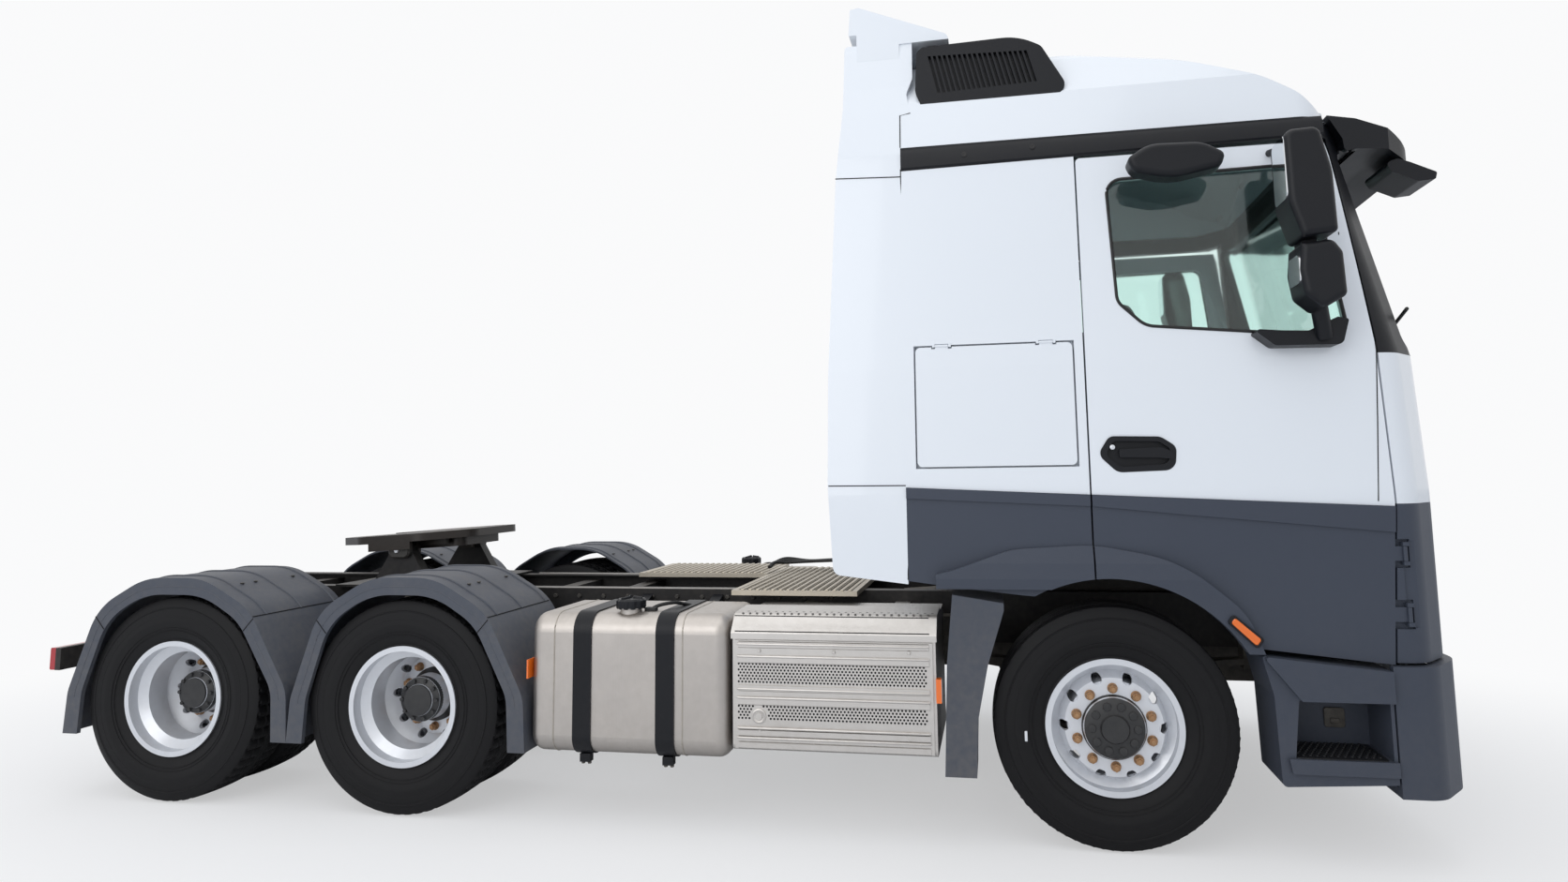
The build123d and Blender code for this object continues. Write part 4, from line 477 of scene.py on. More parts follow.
@dataclass
class Palette:
    """Every finish on the truck, built once and handed out by name."""

    effects: Effects
    made: dict[str, bpy.types.Material] = field(default_factory=dict)

    FINISHES = (
        Finish("white_paint", (0.82, 0.86, 0.91), 0.30, coat=0.5, dust=0.015, tone=0.006, dapple=0.3),
        Finish("grey_cladding", (0.047, 0.057, 0.081), 0.48, dust=0.06, tone=0.06, specular=0.35,
               pattern=Pattern.GRAINED),
        Finish("guard_grey", (0.055, 0.065, 0.088), 0.50, dust=0.20, tone=0.10, specular=0.4,
               pattern=Pattern.GRAINED, relief=0.12, reach=1.6),
        Finish("black_trim", (0.004, 0.005, 0.008), 0.42, dust=0.03, tone=0.15, specular=0.3,
               pattern=Pattern.GRAINED, relief=0.15),
        Finish("chassis_black", (0.008, 0.008, 0.010), 0.45, specular=0.3, dust=0.22, tone=0.25, dapple=3.0),
        Finish("cast_dark", (0.020, 0.019, 0.018), 0.55, dust=0.45, tone=0.3, pattern=Pattern.CAST,
               relief=0.4, dapple=3.0),
        Finish("tank_aluminium", (0.49, 0.46, 0.435), 0.40, metallic=1.0, dust=0.20, tone=0.16,
               pattern=Pattern.BRUSHED, relief=0.25, dapple=2.0),
        Finish("box_steel", (0.60, 0.58, 0.56), 0.44, metallic=1.0, dust=0.18, pattern=Pattern.BRUSHED,
               relief=0.15, dust_colour=(0.28, 0.25, 0.21), dapple=2.0),
        Finish("tread_plate", (0.50, 0.46, 0.39), 0.42, metallic=1.0, dust=0.35, tone=0.15,
               dust_colour=(0.36, 0.31, 0.25)),
        Finish("wheel_silver", (0.72, 0.74, 0.78), 0.30, metallic=0.35, coat=0.3, dust=0.10, tone=0.05),
        Finish("tyre_rubber", (0.006, 0.006, 0.007), 0.60, specular=0.22, dust=0.02, tone=0.25,
               pattern=Pattern.CAST, relief=0.12, dust_colour=(0.10, 0.09, 0.08), reach=1.1),
        Finish("hub_black", (0.012, 0.013, 0.015), 0.42, tone=0.2, dust_colour=(0.15, 0.14, 0.13)),
        Finish("rusty_nut", (0.42, 0.26, 0.14), 0.55, metallic=0.5, dust=0.4, tone=0.5,
               dust_colour=(0.30, 0.13, 0.05), pattern=Pattern.CAST, relief=0.3, dapple=30.0),
        Finish("window_glass", (0.77, 0.94, 0.90), 0.04, dust=0.0, tone=0.0, transmission=1.0),
        Finish("amber_lens", (0.90, 0.17, 0.01), 0.16, coat=0.6, dust=0.05, tone=0.1),
        Finish("red_lens", (0.42, 0.012, 0.02), 0.18, coat=0.6, dust=0.05, tone=0.1),
        Finish("lamp_clear", (0.75, 0.77, 0.80), 0.10, coat=0.8, dust=0.02, tone=0.05),
        Finish("seat_cloth", (0.035, 0.037, 0.042), 0.9, dust=0.02, tone=0.2, pattern=Pattern.WOVEN,
               relief=0.3, sheen=0.3),
        Finish("greased_plate", (0.018, 0.015, 0.013), 0.35, metallic=0.3, dust=0.35, tone=0.4,
               dust_colour=(0.13, 0.07, 0.035), pattern=Pattern.CAST, relief=0.3, dapple=4.0),
        Finish("mirror_glass", (0.75, 0.78, 0.80), 0.03, metallic=1.0, dust=0.0, tone=0.0),
        Finish("seal_rubber", (0.006, 0.006, 0.007), 0.55, dust=0.03, tone=0.1),
        Finish("shadow_gap", (0.004, 0.004, 0.005), 0.9, dust=0.0, tone=0.0),
        Finish("weld_bead", (0.50, 0.47, 0.42), 0.5, metallic=1.0, dust=0.3, tone=0.2, pattern=Pattern.CAST,
               relief=0.4, dapple=20.0),
        Finish("strap_black", (0.004, 0.005, 0.008), 0.42, specular=0.25, dust=0.02, tone=0.1),
        Finish("worn_edge", (0.30, 0.29, 0.28), 0.45, metallic=0.8, dust=0.3, tone=0.3, dapple=12.0),
    )

    def __getitem__(self, name: str) -> bpy.types.Material:
        """The material of that name, made on first use."""
        if name not in self.made:
            finish = next(f for f in self.FINISHES if f.name == name)
            self.made[name] = finish.build(self.effects)
        return self.made[name]

    def dress(self, obj: Piece, name: str, slot: str | None = None) -> None:
        """Gives an object one finish."""
        obj.data.materials.clear()
        obj.data.materials.append(self[name])


@dataclass
class Dressing:
    """Base of the groups that add loose pieces to the kept nodes.

    Attributes:
        palette: Where the finishes come from.
        open: Finish, body and pile of each piece of the group, by its name.
    """

    palette: Palette
    open: dict[str, tuple[str, str, Pile]] = field(default_factory=dict)

    def pile(self, name: str, finish: str, body: str = "chassis") -> Pile:
        """Opens the pile of a piece, which is made when the group is done."""
        self.open[name] = (finish, body, Pile())
        return self.open[name][2]

    def flank(self, word: str, side: float) -> None:
        """Fills the piles of one side of the truck."""

    def middle(self) -> None:
        """Fills the piles that both sides share."""

    def build(self) -> None:
        """Makes the pieces of both sides and the middle; each rides its body."""
        for word, side in SIDES:
            self.flank(word, side)
        self.middle()
        for name, (finish, body, pile) in self.open.items():
            self.put(pile, name, finish, body, SLOT_OF.get(finish))

    def put(self, pile: Pile, name: str, finish: str, body: str, slot: str | None = None,
            heal: bool = True) -> Piece:
        """Makes a gathered mesh, dresses it and lets it ride a body."""
        obj = pile.make(name, heal)
        self.palette.dress(obj, finish, slot)
        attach(obj, body)
        return obj


# --- tyres and wheels ------------------------
@dataclass(frozen=True)
class Tyre:
    """A tyre's section and tread.

    Attributes:
        half: Half of the width.
        bead: Radius at the bead.
        bead_half: Half of the distance between the beads.
        blocks: Cross grooves round the tyre.
        slant: Part of a groove's step by which a groove shifts for each millimetre sideways.
        cut: Depth and share of a step of each cross groove, and where it starts sideways.
        turns: Steps round the tyre.
    """

    half: float = 149.0
    bead: float = 281.5
    bead_half: float = 107.0
    blocks: int = 80
    slant: float = 0.0
    cut: Point = (4.0, 0.34, 100.0)
    turns: int = 240
    ribs: tuple[float, ...] = (-66.0, -24.0, 24.0, 66.0)
    rib_half: float = 5.5
    rib_depth: float = 13.0
    shoulder: float = 28.0  # the crown starts this far in from the wall
    crown_drop: float = 6.0

    def section(self) -> tuple[Array, Array]:
        """Profile from the inner bead over the tread to the outer bead.

        Returns:
            (n, 2) radius and offset, and a mask that is 1 on the tread.
        """
        h, r, b = self.half, TYRE_R, self.bead
        wall = np.array([
            (b, -self.bead_half), (b + 10, -121), (b + 18, -124), (b + 24, -122), (b + 45, -132),
            (b + 75, -141), (b + 105, h * -0.985), (b + 118, -h), (b + 124, -h - 0.5), (b + 129, -h),
            (r - 82, -h + 2), (r - 62, -h + 5), (r - 60, -h + 2.5), (r - 56, -h + 2.5), (r - 54, -h + 6),
            (r - 34, -h + 12), (r - 19, -h + 18), (r - 10, -h + 23)])
        reach = h - self.shoulder
        offset = np.linspace(-reach, reach, 41)
        tread = np.stack([r - self.crown_drop * (offset / reach) ** 2 - 0.5, offset], axis=1)
        mask = np.repeat([0.0, 1.0, 0.0], [len(wall), len(tread), len(wall)])
        return np.concatenate([wall, tread, wall[::-1] * (1, -1)]), mask

    def add(self, pile: Pile, x: float, y: float, side: float) -> None:
        """Adds the tyre at an axle place.

        The radius sinks by a groove depth where the offset lies in a rib groove, or where the angle
        lies in a cross groove, which slants with the offset.
        """
        profile, mask = self.section()
        w = profile[None, :, 1]
        a = round_angles(self.turns)[:, None]
        ribs = np.min([np.abs(w - place) for place in self.ribs], axis=0) < self.rib_half
        deep, share, start = self.cut
        phase = (a * self.blocks / (2 * math.pi) + self.slant * np.abs(w)) % 1.0
        depth = np.maximum(self.rib_depth * ribs, deep * (phase < share) * (np.abs(w) > start))
        r = profile[None, :, 0] - depth * mask[None, :]
        rows = np.stack([x + r * np.sin(a), y + side * (w + 0 * a), TYRE_R + r * np.cos(a)], axis=-1)
        pile.grid(rows, wrap_rows=True, flip=side > 0)
        b, beads = self.bead, self.bead_half
        turned(pile, [(b, beads), (b + 30, 90), (b + 30, -90), (b, -beads)], (x, y, TYRE_R), side, self.turns)


@dataclass(frozen=True)
class WheelKind:
    """What steered and driven wheels differ in.

    Attributes:
        tyre: Its tyre.
        middle: Distance of the wheel's middle from the truck's.
        offsets: Outward offset of each tyre.
        nut_face: Outward offset of the face under the nuts.
        hub_face: Outward offset that the hub's profiles count from.
        cover: Profile of the hub cover.
        lobe: Profile of each lobe or bolt on the cover.
        lobe_turns: Steps round it.
    """

    tyre: Tyre
    middle: float
    offsets: tuple[float, ...]
    nut_face: float
    hub_face: float
    cover: tuple[Pair, ...]
    lobe: tuple[Pair, ...]
    lobe_turns: int


STEERED = WheelKind(
    Tyre(), 1020.0, (0.0,), 118.0, 118.0,
    ((139.2, -2), (139.2, 6), (137, 11), (131, 17), (129, 27.5), (124, 31), (64, 34.5), (60.5, 38),
     (59.5, 45.5), (57, 48.5), (20, 49.2), (0, 49.2)),
    ((18.5, 28), (18.5, 36), (16.5, 38.5), (6, 39.2), (0, 39.2)), 20)
DRIVEN = WheelKind(
    Tyre(blocks=54, slant=0.0022, cut=(11.0, 0.24, 20.0), turns=216), 910.0, (-170.0, 170.0), 14.0, 0.0,
    ((139.5, 12), (139.5, 28), (136, 34), (121, 60), (114.5, 68), (113.5, 146), (110, 153), (87, 160),
     (79, 165), (77, 174.5), (60, 176.5), (0, 176.5)),
    ((10.5, 155), (10.5, 165), (9, 167), (0, 167)), 12)


def ring_places(radius: float, start: float = 0.0, count: int = 10) -> Array:
    """(count, 2) sideways and upward offsets round a circle."""
    a = start + np.arange(count) * 2 * math.pi / count
    return radius * np.stack([np.sin(a), np.cos(a)], axis=1)


@dataclass
class Wheels(Dressing):
    """Tyres, wall rings, nuts and hub covers of all six wheel bodies."""

    ring_face: float = 147.0  # outward from a tyre's middle
    rings: tuple[Pair, ...] = ((352.0, -4.0), (368.0, -2.5), (432.0, 0.0), (446.0, -1.5))
    ring_r: float = 1.6
    nut_circle: float = 167.5
    lobe_circle: float = 98.0
    nut: tuple[tuple, ...] = (  # flange, hexagon and stud end, each with its steps round
        (((22.5, 0.5), (22.5, 4), (18.5, 8)), 18),
        (((18.8, 6), (18.8, 25), (17.2, 28.5), (11.5, 28.5)), 6),
        (((11.5, 27), (11, 35), (9.5, 36.5), (0, 36.5)), 12))

    def flank(self, word: str, side: float) -> None:
        """The front wheel and both twin wheels of a side."""
        names = (f"tyre_front_{word}", f"front_tyre_{word}")
        self.wheel(STEERED, 0.0, side, names, f"front_{word}", f"front_wheel_{word}")
        for number, x in enumerate(REAR_AXLES, 1):
            label = f"{number}_{word}"
            names = (f"tyres_rear_{label}", f"twin_tyres_{label}")
            self.wheel(DRIVEN, x, side, names, f"rear_{label}", f"twin_wheel_{label}")

    def wheel(self, kind: WheelKind, x: float, side: float, names: tuple[str, str], label: str,
              body: str) -> None:
        """One wheel body's pieces; `names` are its tyre piece and the node that this stands for."""
        tyres, rings, nuts, hub = Pile(), Pile(), Pile(), Pile()
        for offset in kind.offsets:
            kind.tyre.add(tyres, x, side * (kind.middle + offset), side)
        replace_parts(self.put(tyres, names[0], "tyre_rubber", body, "tyre", False), names[1])
        outer = (x, side * (kind.middle + kind.offsets[-1] + self.ring_face), TYRE_R)
        a = np.linspace(0, math.pi, 5)
        bead = self.ring_r * np.stack([np.cos(a), np.sin(a)], axis=1)
        for ring in self.rings:
            turned(rings, bead + ring, outer, side)
        self.put(rings, f"tyre_rings_{label}", "tyre_rubber", body, heal=False)
        y = side * (kind.middle + kind.nut_face)
        for dx, dz in ring_places(self.nut_circle):
            for profile, turns in self.nut:
                turned(nuts, profile, (x + dx, y, TYRE_R + dz), side, turns)
        self.put(nuts, f"nuts_{label}", "rusty_nut", body, heal=False)
        y = side * (kind.middle + kind.hub_face)
        turned(hub, kind.cover, (x, y, TYRE_R), side)
        for dx, dz in ring_places(self.lobe_circle, math.pi / 10):
            turned(hub, kind.lobe, (x + dx, y, TYRE_R + dz), side, kind.lobe_turns)
        self.put(hub, f"hub_cover_{label}", "hub_black", body, heal=False)


# --- lines and plates on the cab and the frame 
SKIN_Z = (780.0, 1560.0, 2150.0, 3230.0, 3600.0, 3950.0)
SKIN_HALF = (1192.0, 1192.0, 1172.0, 1100.0, 1046.0, 1010.0)


def skin(z: Array) -> Array:
    """Half width of the cab's flank at a height."""
    return np.interp(z, SKIN_Z, SKIN_HALF)


def beside(line: Array, y: float | Array) -> Array:
    """Side-view points (x, z) moved to a sideways place, as (n, 3)."""
    return np.insert(np.asarray(line, float), 1, y, axis=1)


def across(line: Array, x: float, side: float) -> Array:
    """Rear-view points (outward, z) of one side moved to a place along the truck, as (n, 3)."""
    return np.insert(np.asarray(line, float) * (side, 1.0), 0, x, axis=1)


def rounded_loop(corners: Array, steps: int = 6) -> Array:
    """Closed loop through corners, each rounded by an arc.

    An arc's centre lies on the corner's bisector; its points are the straight way from the arc's start
    to its end, pushed out to the radius.

    Args:
        corners: (n, 3) of u, v and radius.
        steps: Points on each arc.
    Returns:
        (n * steps, 2) points.
    """
    table = np.asarray(corners, float)
    p, r = table[:, :2], table[:, 2:3]
    back, ahead = np.roll(p, 1, 0) - p, np.roll(p, -1, 0) - p
    back /= np.linalg.norm(back, axis=1, keepdims=True)
    ahead /= np.linalg.norm(ahead, axis=1, keepdims=True)
    half = np.arccos(np.clip((back * ahead).sum(1, keepdims=True), -1, 1)) / 2
    middle = (back + ahead) / np.linalg.norm(back + ahead, axis=1, keepdims=True)
    centre = p + middle * r / np.sin(half)
    start, end = p + back * r / np.tan(half) - centre, p + ahead * r / np.tan(half) - centre
    t = np.linspace(0, 1, steps)[None, :, None]
    ray = start[:, None] * (1 - t) + end[:, None] * t
    ray *= r[:, None] / np.maximum(np.linalg.norm(ray, axis=2, keepdims=True), 1e-9)
    return (centre[:, None] + ray).reshape(-1, 2)


def closed(loop: Array) -> Array:
    """A loop's points with its first two again at the end, for a tube that meets itself."""
    return np.concatenate([loop, loop[:2]])


def rounded_rectangle(u: float, v: float, wide: float, high: float, corner: float, steps: int = 6) -> Array:
    """Loop of a rounded rectangle about its middle."""
    places = ((-wide, -high), (wide, -high), (wide, high), (-wide, high))
    return rounded_loop([(u + du / 2, v + dv / 2, corner) for du, dv in places], steps)


def flank_line(pile: Pile, line: Array, side: float, lift: float, radius: float) -> None:
    """Adds a thin tube that follows a side-view line on the cab's flank, lifted from the skin."""
    xz = np.asarray(line, float)
    tube(pile, beside(xz, side * (skin(xz[:, 1]) + lift)), radius, 6)


def side_plate(pile: Pile, loop: Array, side: float, y_in: float, y_out: float, bevel: float = 2.0) -> None:
    """Adds a plate with a bevelled rim, drawn in side view.

    Its rings are the loop at the inner depth, at the outer depth less the bevel, and the loop drawn
    towards its middle by the bevel at the outer depth.
    """
    gap = loop.mean(0) - loop
    inner = loop + gap * bevel / np.maximum(np.linalg.norm(gap, axis=1, keepdims=True), 1e-6)
    pile.bar([beside(loop, side * y_in), beside(loop, side * (y_out - bevel)), beside(inner, side * y_out)])


def discs(pile: Pile, centres: Array, v: Point, radius: float, sides: int = 8) -> None:
    """Adds flat discs; a point is its centre plus the radius along x cos a + v sin a."""
    a = round_angles(sides)
    rim = radius * (np.cos(a)[:, None] * np.array((1, 0, 0)) + np.sin(a)[:, None] * np.array(v))
    points = (centres[:, None, :] + rim[None]).reshape(-1, 3)
    pile.faces.extend(map(tuple, (np.arange(len(points)).reshape(-1, sides) + pile.count).tolist()))
    pile.points.append(points)
    pile.count += len(points)


def bolt_heads(pile: Pile, centres: Array, axis: int, way: float, radius: float, height: float) -> None:
    """Adds hexagon heads on a face square to one axis.

    Each head is a six-sided prism of three rings, the outermost drawn in for its bevel.
    """
    u, v = (i for i in range(3) if i != axis)
    a = round_angles(6)
    for centre in np.asarray(centres, float):
        rings = np.tile(centre, (3, 6, 1))
        for ring, depth, share in zip(rings, (0.0, 0.75, 1.0), (1.0, 1.0, 0.82)):
            ring[:, u] += radius * share * np.cos(a)
            ring[:, v] += radius * share * np.sin(a)
            ring[:, axis] += way * height * depth
        pile.bar(rings)


@dataclass
class DoorTrim(Dressing):
    """Window seal, pillar and mirror seam lines of painted shade, mirror glass and handle lock of both doors.
    """

    window: tuple[Point, ...] = (
        (75, 3020, 70), (960, 3035, 60), (1060, 2245, 60), (700, 2262, 300), (215, 2312, 110), (98, 2430, 80))
    pillar: tuple[Pair, ...] = ((1166, 2196), (1144, 1870), (1118, 1512))
    heads: tuple[tuple[float, ...], ...] = (  # rear face, middle, width and height
        (752, 1400, 2910, 160, 270), (787, 1390, 2478, 140, 120))
    lock: tuple[Pair, ...] = ((11, 0), (11, 4), (8, 6), (0, 6))

    def flank(self, word: str, side: float) -> None:
        """One door."""
        body = f"door_{word}"
        seal = self.pile(f"window_seal_{word}", "seal_rubber", body)
        flank_line(seal, closed(rounded_loop(self.window, 8)), side, -1.0, 8.0)
        # The pillar seam is a dark tube of painted shade in the gap at the door's front edge.
        flank_line(self.pile(f"pillar_seam_shadow_{word}", "shadow_gap", body), self.pillar, side, 0.2, 2.6)
        glass = self.pile(f"mirror_glass_{word}", "mirror_glass", body)
        for x, y, z, wide, high in self.heads:
            loop = rounded_rectangle(y, z, wide, high, 25)
            glass.bar([across(loop, x + depth, side) for depth in (8.0, -1.5)])
        # The dark seams across the mirror heads are painted shade.
        seam = self.pile(f"mirror_seam_shadow_{word}", "shadow_gap", body)
        for x in (800.0, 930.0):
            tube(seam, [(x, side * 1500.6, z) for z in (2612, 2600)], 2.0)
        lock = self.pile(f"door_lock_{word}", "wheel_silver", body)
        turned(lock, self.lock, (42, side * 1190, 1762), side, 20)


@dataclass
class CabTrim(Dressing):
    """Roof rail, lamps and painted shade lines along the panel seams on the cab, and the arch lamps on its
    doors.
    """

    rail_ends: Pair = (-886, 1040)
    rail_top: float = 3260.0
    rail_high: float = 112.0
    rail_section: tuple[Pair, ...] = ((-4, 0), (10, 34), (8, 100), (-4, 112))  # outward and down
    plugs: Pair = (-578, -252)
    plug: tuple[Pair, ...] = ((13, 0), (13, 4), (9, 5), (0, 2))
    seams: tuple[tuple[Pair, ...], ...] = (
        ((-890, 1170), (-890, 3150)), ((-1216, 3126), (-892, 3112)), ((-1258, 1604), (-892, 1602)),
        ((-890, 3265), (-890, 3440), (-838, 3450)))
    lamp_frame: tuple[Point, ...] = ((474, 1004, 14), (590, 894, 14), (620, 936, 14), (500, 1040, 14))
    lamp_lens: tuple[Point, ...] = ((488, 1003, 10), (586, 908, 10), (606, 936, 10), (504, 1026, 10))

    def flank(self, word: str, side: float) -> None:
        """One flank; the rail's section is carried along x on the skin."""
        x = np.linspace(*self.rail_ends, 12)
        low = 3141 + 22 * (x + 890) / 1800
        heights = [(out, self.rail_top + (low - self.rail_top) * drop / self.rail_high)
                   for out, drop in self.rail_section]
        rings = [np.stack([x, side * (skin(z) + out), z], axis=1) for out, z in heights]
        self.pile(f"roof_rail_{word}", "black_trim", "cab").bar(np.swapaxes(rings, 0, 1))
        plugs = self.pile(f"rail_plugs_{word}", "seal_rubber", "cab")
        for at in self.plugs:
            turned(plugs, self.plug, (at, side * (skin(3200) + 8), 3200 + (at + 578) * 0.04), side, 16)
        # The dark tubes along the panel seams are painted shade in the gaps.
        seams = self.pile(f"panel_seam_shadows_{word}", "shadow_gap", "cab")
        for line in self.seams:
            flank_line(seams, line, side, 0.2, 2.8)
        door = f"door_{word}"
        frame = self.pile(f"arch_lamp_frame_{word}", "black_trim", door)
        side_plate(frame, rounded_loop(self.lamp_frame), side, 1215, 1243)
        lens = self.pile(f"arch_lamp_{word}", "amber_lens", door)
        side_plate(lens, rounded_loop(self.lamp_lens), side, 1225, 1248, 4)

    def middle(self) -> None:
        """Small clear lamps on the front of the roof."""
        pile = self.pile("roof_lamps", "lamp_clear", "cab")
        for x, y, z in ((1075, -860, 3330), (1120, -430, 3420), (1120, 430, 3420), (1075, 860, 3330)):
            slab(pile, (x, y, z), (70, 90, 30), 1, 12)


@dataclass
class BoxDress(Dressing):
    """Perforated bands, ribs, screws and lid slots of the exhaust box, on the right side; the holes, slots
    and joints are dark discs and lines of painted shade.
    """

    out: float = 1216.0  # distance of the panel from the middle
    bands: tuple[Pair, ...] = ((690.0, 795.0), (525.0, 612.0))
    pitch: float = 17.0
    hole: float = 5.2
    boss: Point = (-1597, 548, 44)  # x, z and radius of the patch without holes
    slots: tuple[Point, ...] = ((0, -1150.0, 1006.5), (17, -1110.0, 1007.5))
    joints: Pair = (931.0, 1002.0)
    cap: tuple[Pair, ...] = ((34, 0), (34, 4), (28, 6), (24, 3), (18, 3), (16, 7), (0, 7))
    screws: tuple[Pair, ...] = ((-1595, 842), (-893, 846), (-1593, 478), (-893, 466), (-1240, 842))
    ribs: tuple[float, ...] = (872.0, 816.0, 668.0, 628.0, 492.0, 448.0)

    def middle(self) -> None:
        """Everything on the panel and the lid."""
        # The holes, lid slots and joints are dark discs and tubes of painted shade.
        holes = self.pile("box_hole_shadows", "shadow_gap")
        for low, high in self.bands:
            rows = np.arange(low + 10, high - 4, self.pitch * 0.8)
            z, x = np.meshgrid(rows, np.arange(-1694, -812, self.pitch), indexing="ij")
            x = x + (np.arange(len(rows)) % 2)[:, None] * self.pitch / 2
            spots = np.stack([x.ravel(), np.full(x.size, -self.out - 0.6), z.ravel()], axis=1)
            clear = np.hypot(spots[:, 0] - self.boss[0], spots[:, 2] - self.boss[1]) >= self.boss[2]
            discs(holes, spots[clear], (0, 0, 1), self.hole)
        for shift, y, z in self.slots:
            x = np.arange(-1690, -800, 34.0) + shift
            discs(holes, np.stack([x, np.full_like(x, y), np.full_like(x, z)], axis=1), (0, 1, 0), 6.5)
        for z in self.joints:
            tube(holes, [(x, -self.out - 1.5, z) for x in (-1712, -799)], 2.5)
        metal = self.pile("box_ribs_and_screws", "box_steel")
        turned(metal, self.cap, (-1597, -self.out, 545), -1.0, 32)
        bolt_heads(metal, beside(self.screws, -self.out - 1), 1, -1.0, 9, 6)
        for z in self.ribs:
            tube(metal, beside([(-1700, z), (-1690, z), (-812, z), (-802, z)],
                               -self.out - np.array([1.0, 5.0, 5.0, 1.0])), 6.0)


@dataclass
class TankDress(Dressing):
    """Filler caps, breather pipes, weld seams and strap bolts of both tanks."""

    welds: Pair = (-2622.0, -1968.0)
    cap_at: Point = (-2270, 1120, 1052)
    cap_r: tuple[float, ...] = (66, 71, 71, 62, 30, 1)
    cap_rise: tuple[float, ...] = (-36, -30, 4, 12, 14, 14)
    cap_wave: float = 0.035
    cap_waves: int = 12
    straps: Pair = (-2475.0, -2055.0)
    pipe: tuple[Point, ...] = (
        (-2190, 1080, 1000), (-2150, 1060, 1022), (-2090, 1010, 1030), (-2060, 960, 1018), (-2040, 900, 1002))

    def flank(self, word: str, side: float) -> None:
        """One tank; the cap's radius is waved with the angle outside its middle."""
        welds = self.pile(f"tank_welds_{word}", "weld_bead")
        for x in self.welds:
            tube(welds, across(closed(rounded_rectangle(940, 667.5, 571, 666, 90.5, 8)), x, side), 3.0)
        cap = self.pile(f"filler_cap_{word}", "black_trim")
        x, y, z = self.cap_at[0], side * self.cap_at[1], self.cap_at[2]
        angle = round_angles(72)[None, :]
        radius, rise = np.array(self.cap_r)[:, None], np.array(self.cap_rise)[:, None]
        waved = radius * (1 + self.cap_wave * np.cos(self.cap_waves * angle) * (radius > 50))
        rows = [x + waved * np.cos(angle), y + waved * np.sin(angle), z + rise + 0 * angle]
        cap.grid(np.stack(rows, axis=-1), wrap_cols=True)
        for turn in np.arange(3) * 2.094:
            dx, dy = math.cos(turn), math.sin(turn)
            tube(cap, [(x + r * dx, y + r * dy, z + h) for r, h in ((12, 18), (56, 12))], 9.0)
        pipe = self.pile(f"tank_breather_{word}", "seal_rubber")
        tube(pipe, smooth_path([(px, side * py, pz) for px, py, pz in self.pipe]), 9.0)
        slab(pipe, (-2180, side * 1085, 1006), (60, 40, 22), 2, 8)
        bolts = self.pile(f"strap_bolts_{word}", "cast_dark")
        spots = [(at + dx, side * 1165.0, 295.0) for at in self.straps for dx in (-16.0, 16.0)]
        bolt_heads(bolts, spots, 2, -1.0, 10, 12)


@dataclass
class GuardDress(Dressing):
    """Raised lines, part seams drawn as dark lines of painted shade, and screws of the rear mudguards."""

    spans: tuple[tuple[float, ...], ...] = (  # axle, rear end, front end and top
        (-3450.0, -4075.0, -2760.0, 1172.0), (-4800.0, -5440.0, -4075.0, 1162.0))
    low: float = 340.0  # height of the guards' feet
    crown_low: float = 960.0  # height above which the crown's lines run
    raised: Point = (1150.0, 905.0, 650.0)
    screws: Point = (1080.0, 990.0, 720.0)

    def arch(self, span: tuple[float, ...], g: float) -> Array:
        """Side view of a guard from its rear foot over the top to its front foot, drawn in by g."""
        x, rear, front, top = span
        return rounded_loop([
            (rear + g, self.low, 1), (rear + 14 + g, 560, 200), (x - 470 + 0.7 * g, 1000 - 0.7 * g, 320),
            (x - 180, top - g, 400), (x + 180, top - g, 400), (x + 470 - 0.7 * g, 1005 - 0.7 * g, 320),
            (front - 14 - g, 600, 200), (front - g, self.low, 1)], 9)

    def flank(self, word: str, side: float) -> None:
        """Both guards of one side."""
        raised = self.pile(f"guard_lines_{word}", "guard_grey")
        # The part seams are dark tubes of painted shade.
        seams = self.pile(f"guard_seam_shadows_{word}", "shadow_gap")
        screws = self.pile(f"guard_screws_{word}", "cast_dark")
        for span in self.spans:
            x, crown, edge = span[0], self.arch(span, -1.0), self.arch(span, 46.0)
            crown = crown[crown[:, 1] > self.crown_low]
            for y in self.raised:
                tube(raised, beside(crown, side * y), 6.0)
            tube(raised, beside(edge[edge[:, 1] > self.low + 40], side * 1244.0), 3.0)
            for place, out in ((x - 500, -1.0), (x + 505, 1.0)):
                foot, high = crown[np.argmin(np.abs(crown[:, 0] - place))]
                lip = [(foot - 52 * out, high - 74), (foot + 6 * out, high - 8)]
                tube(seams, beside(lip, side * 1246), 2.2)
                tube(seams, [(foot, side * y, high + 1) for y in (1240, 612)], 2.6)
            spot = crown[np.argmin(np.abs(crown[:, 0] - x - 330))]
            for y in self.screws:
                bolt_heads(screws, [(spot[0], side * y, spot[1])], 2, 1.0, 11, 6)


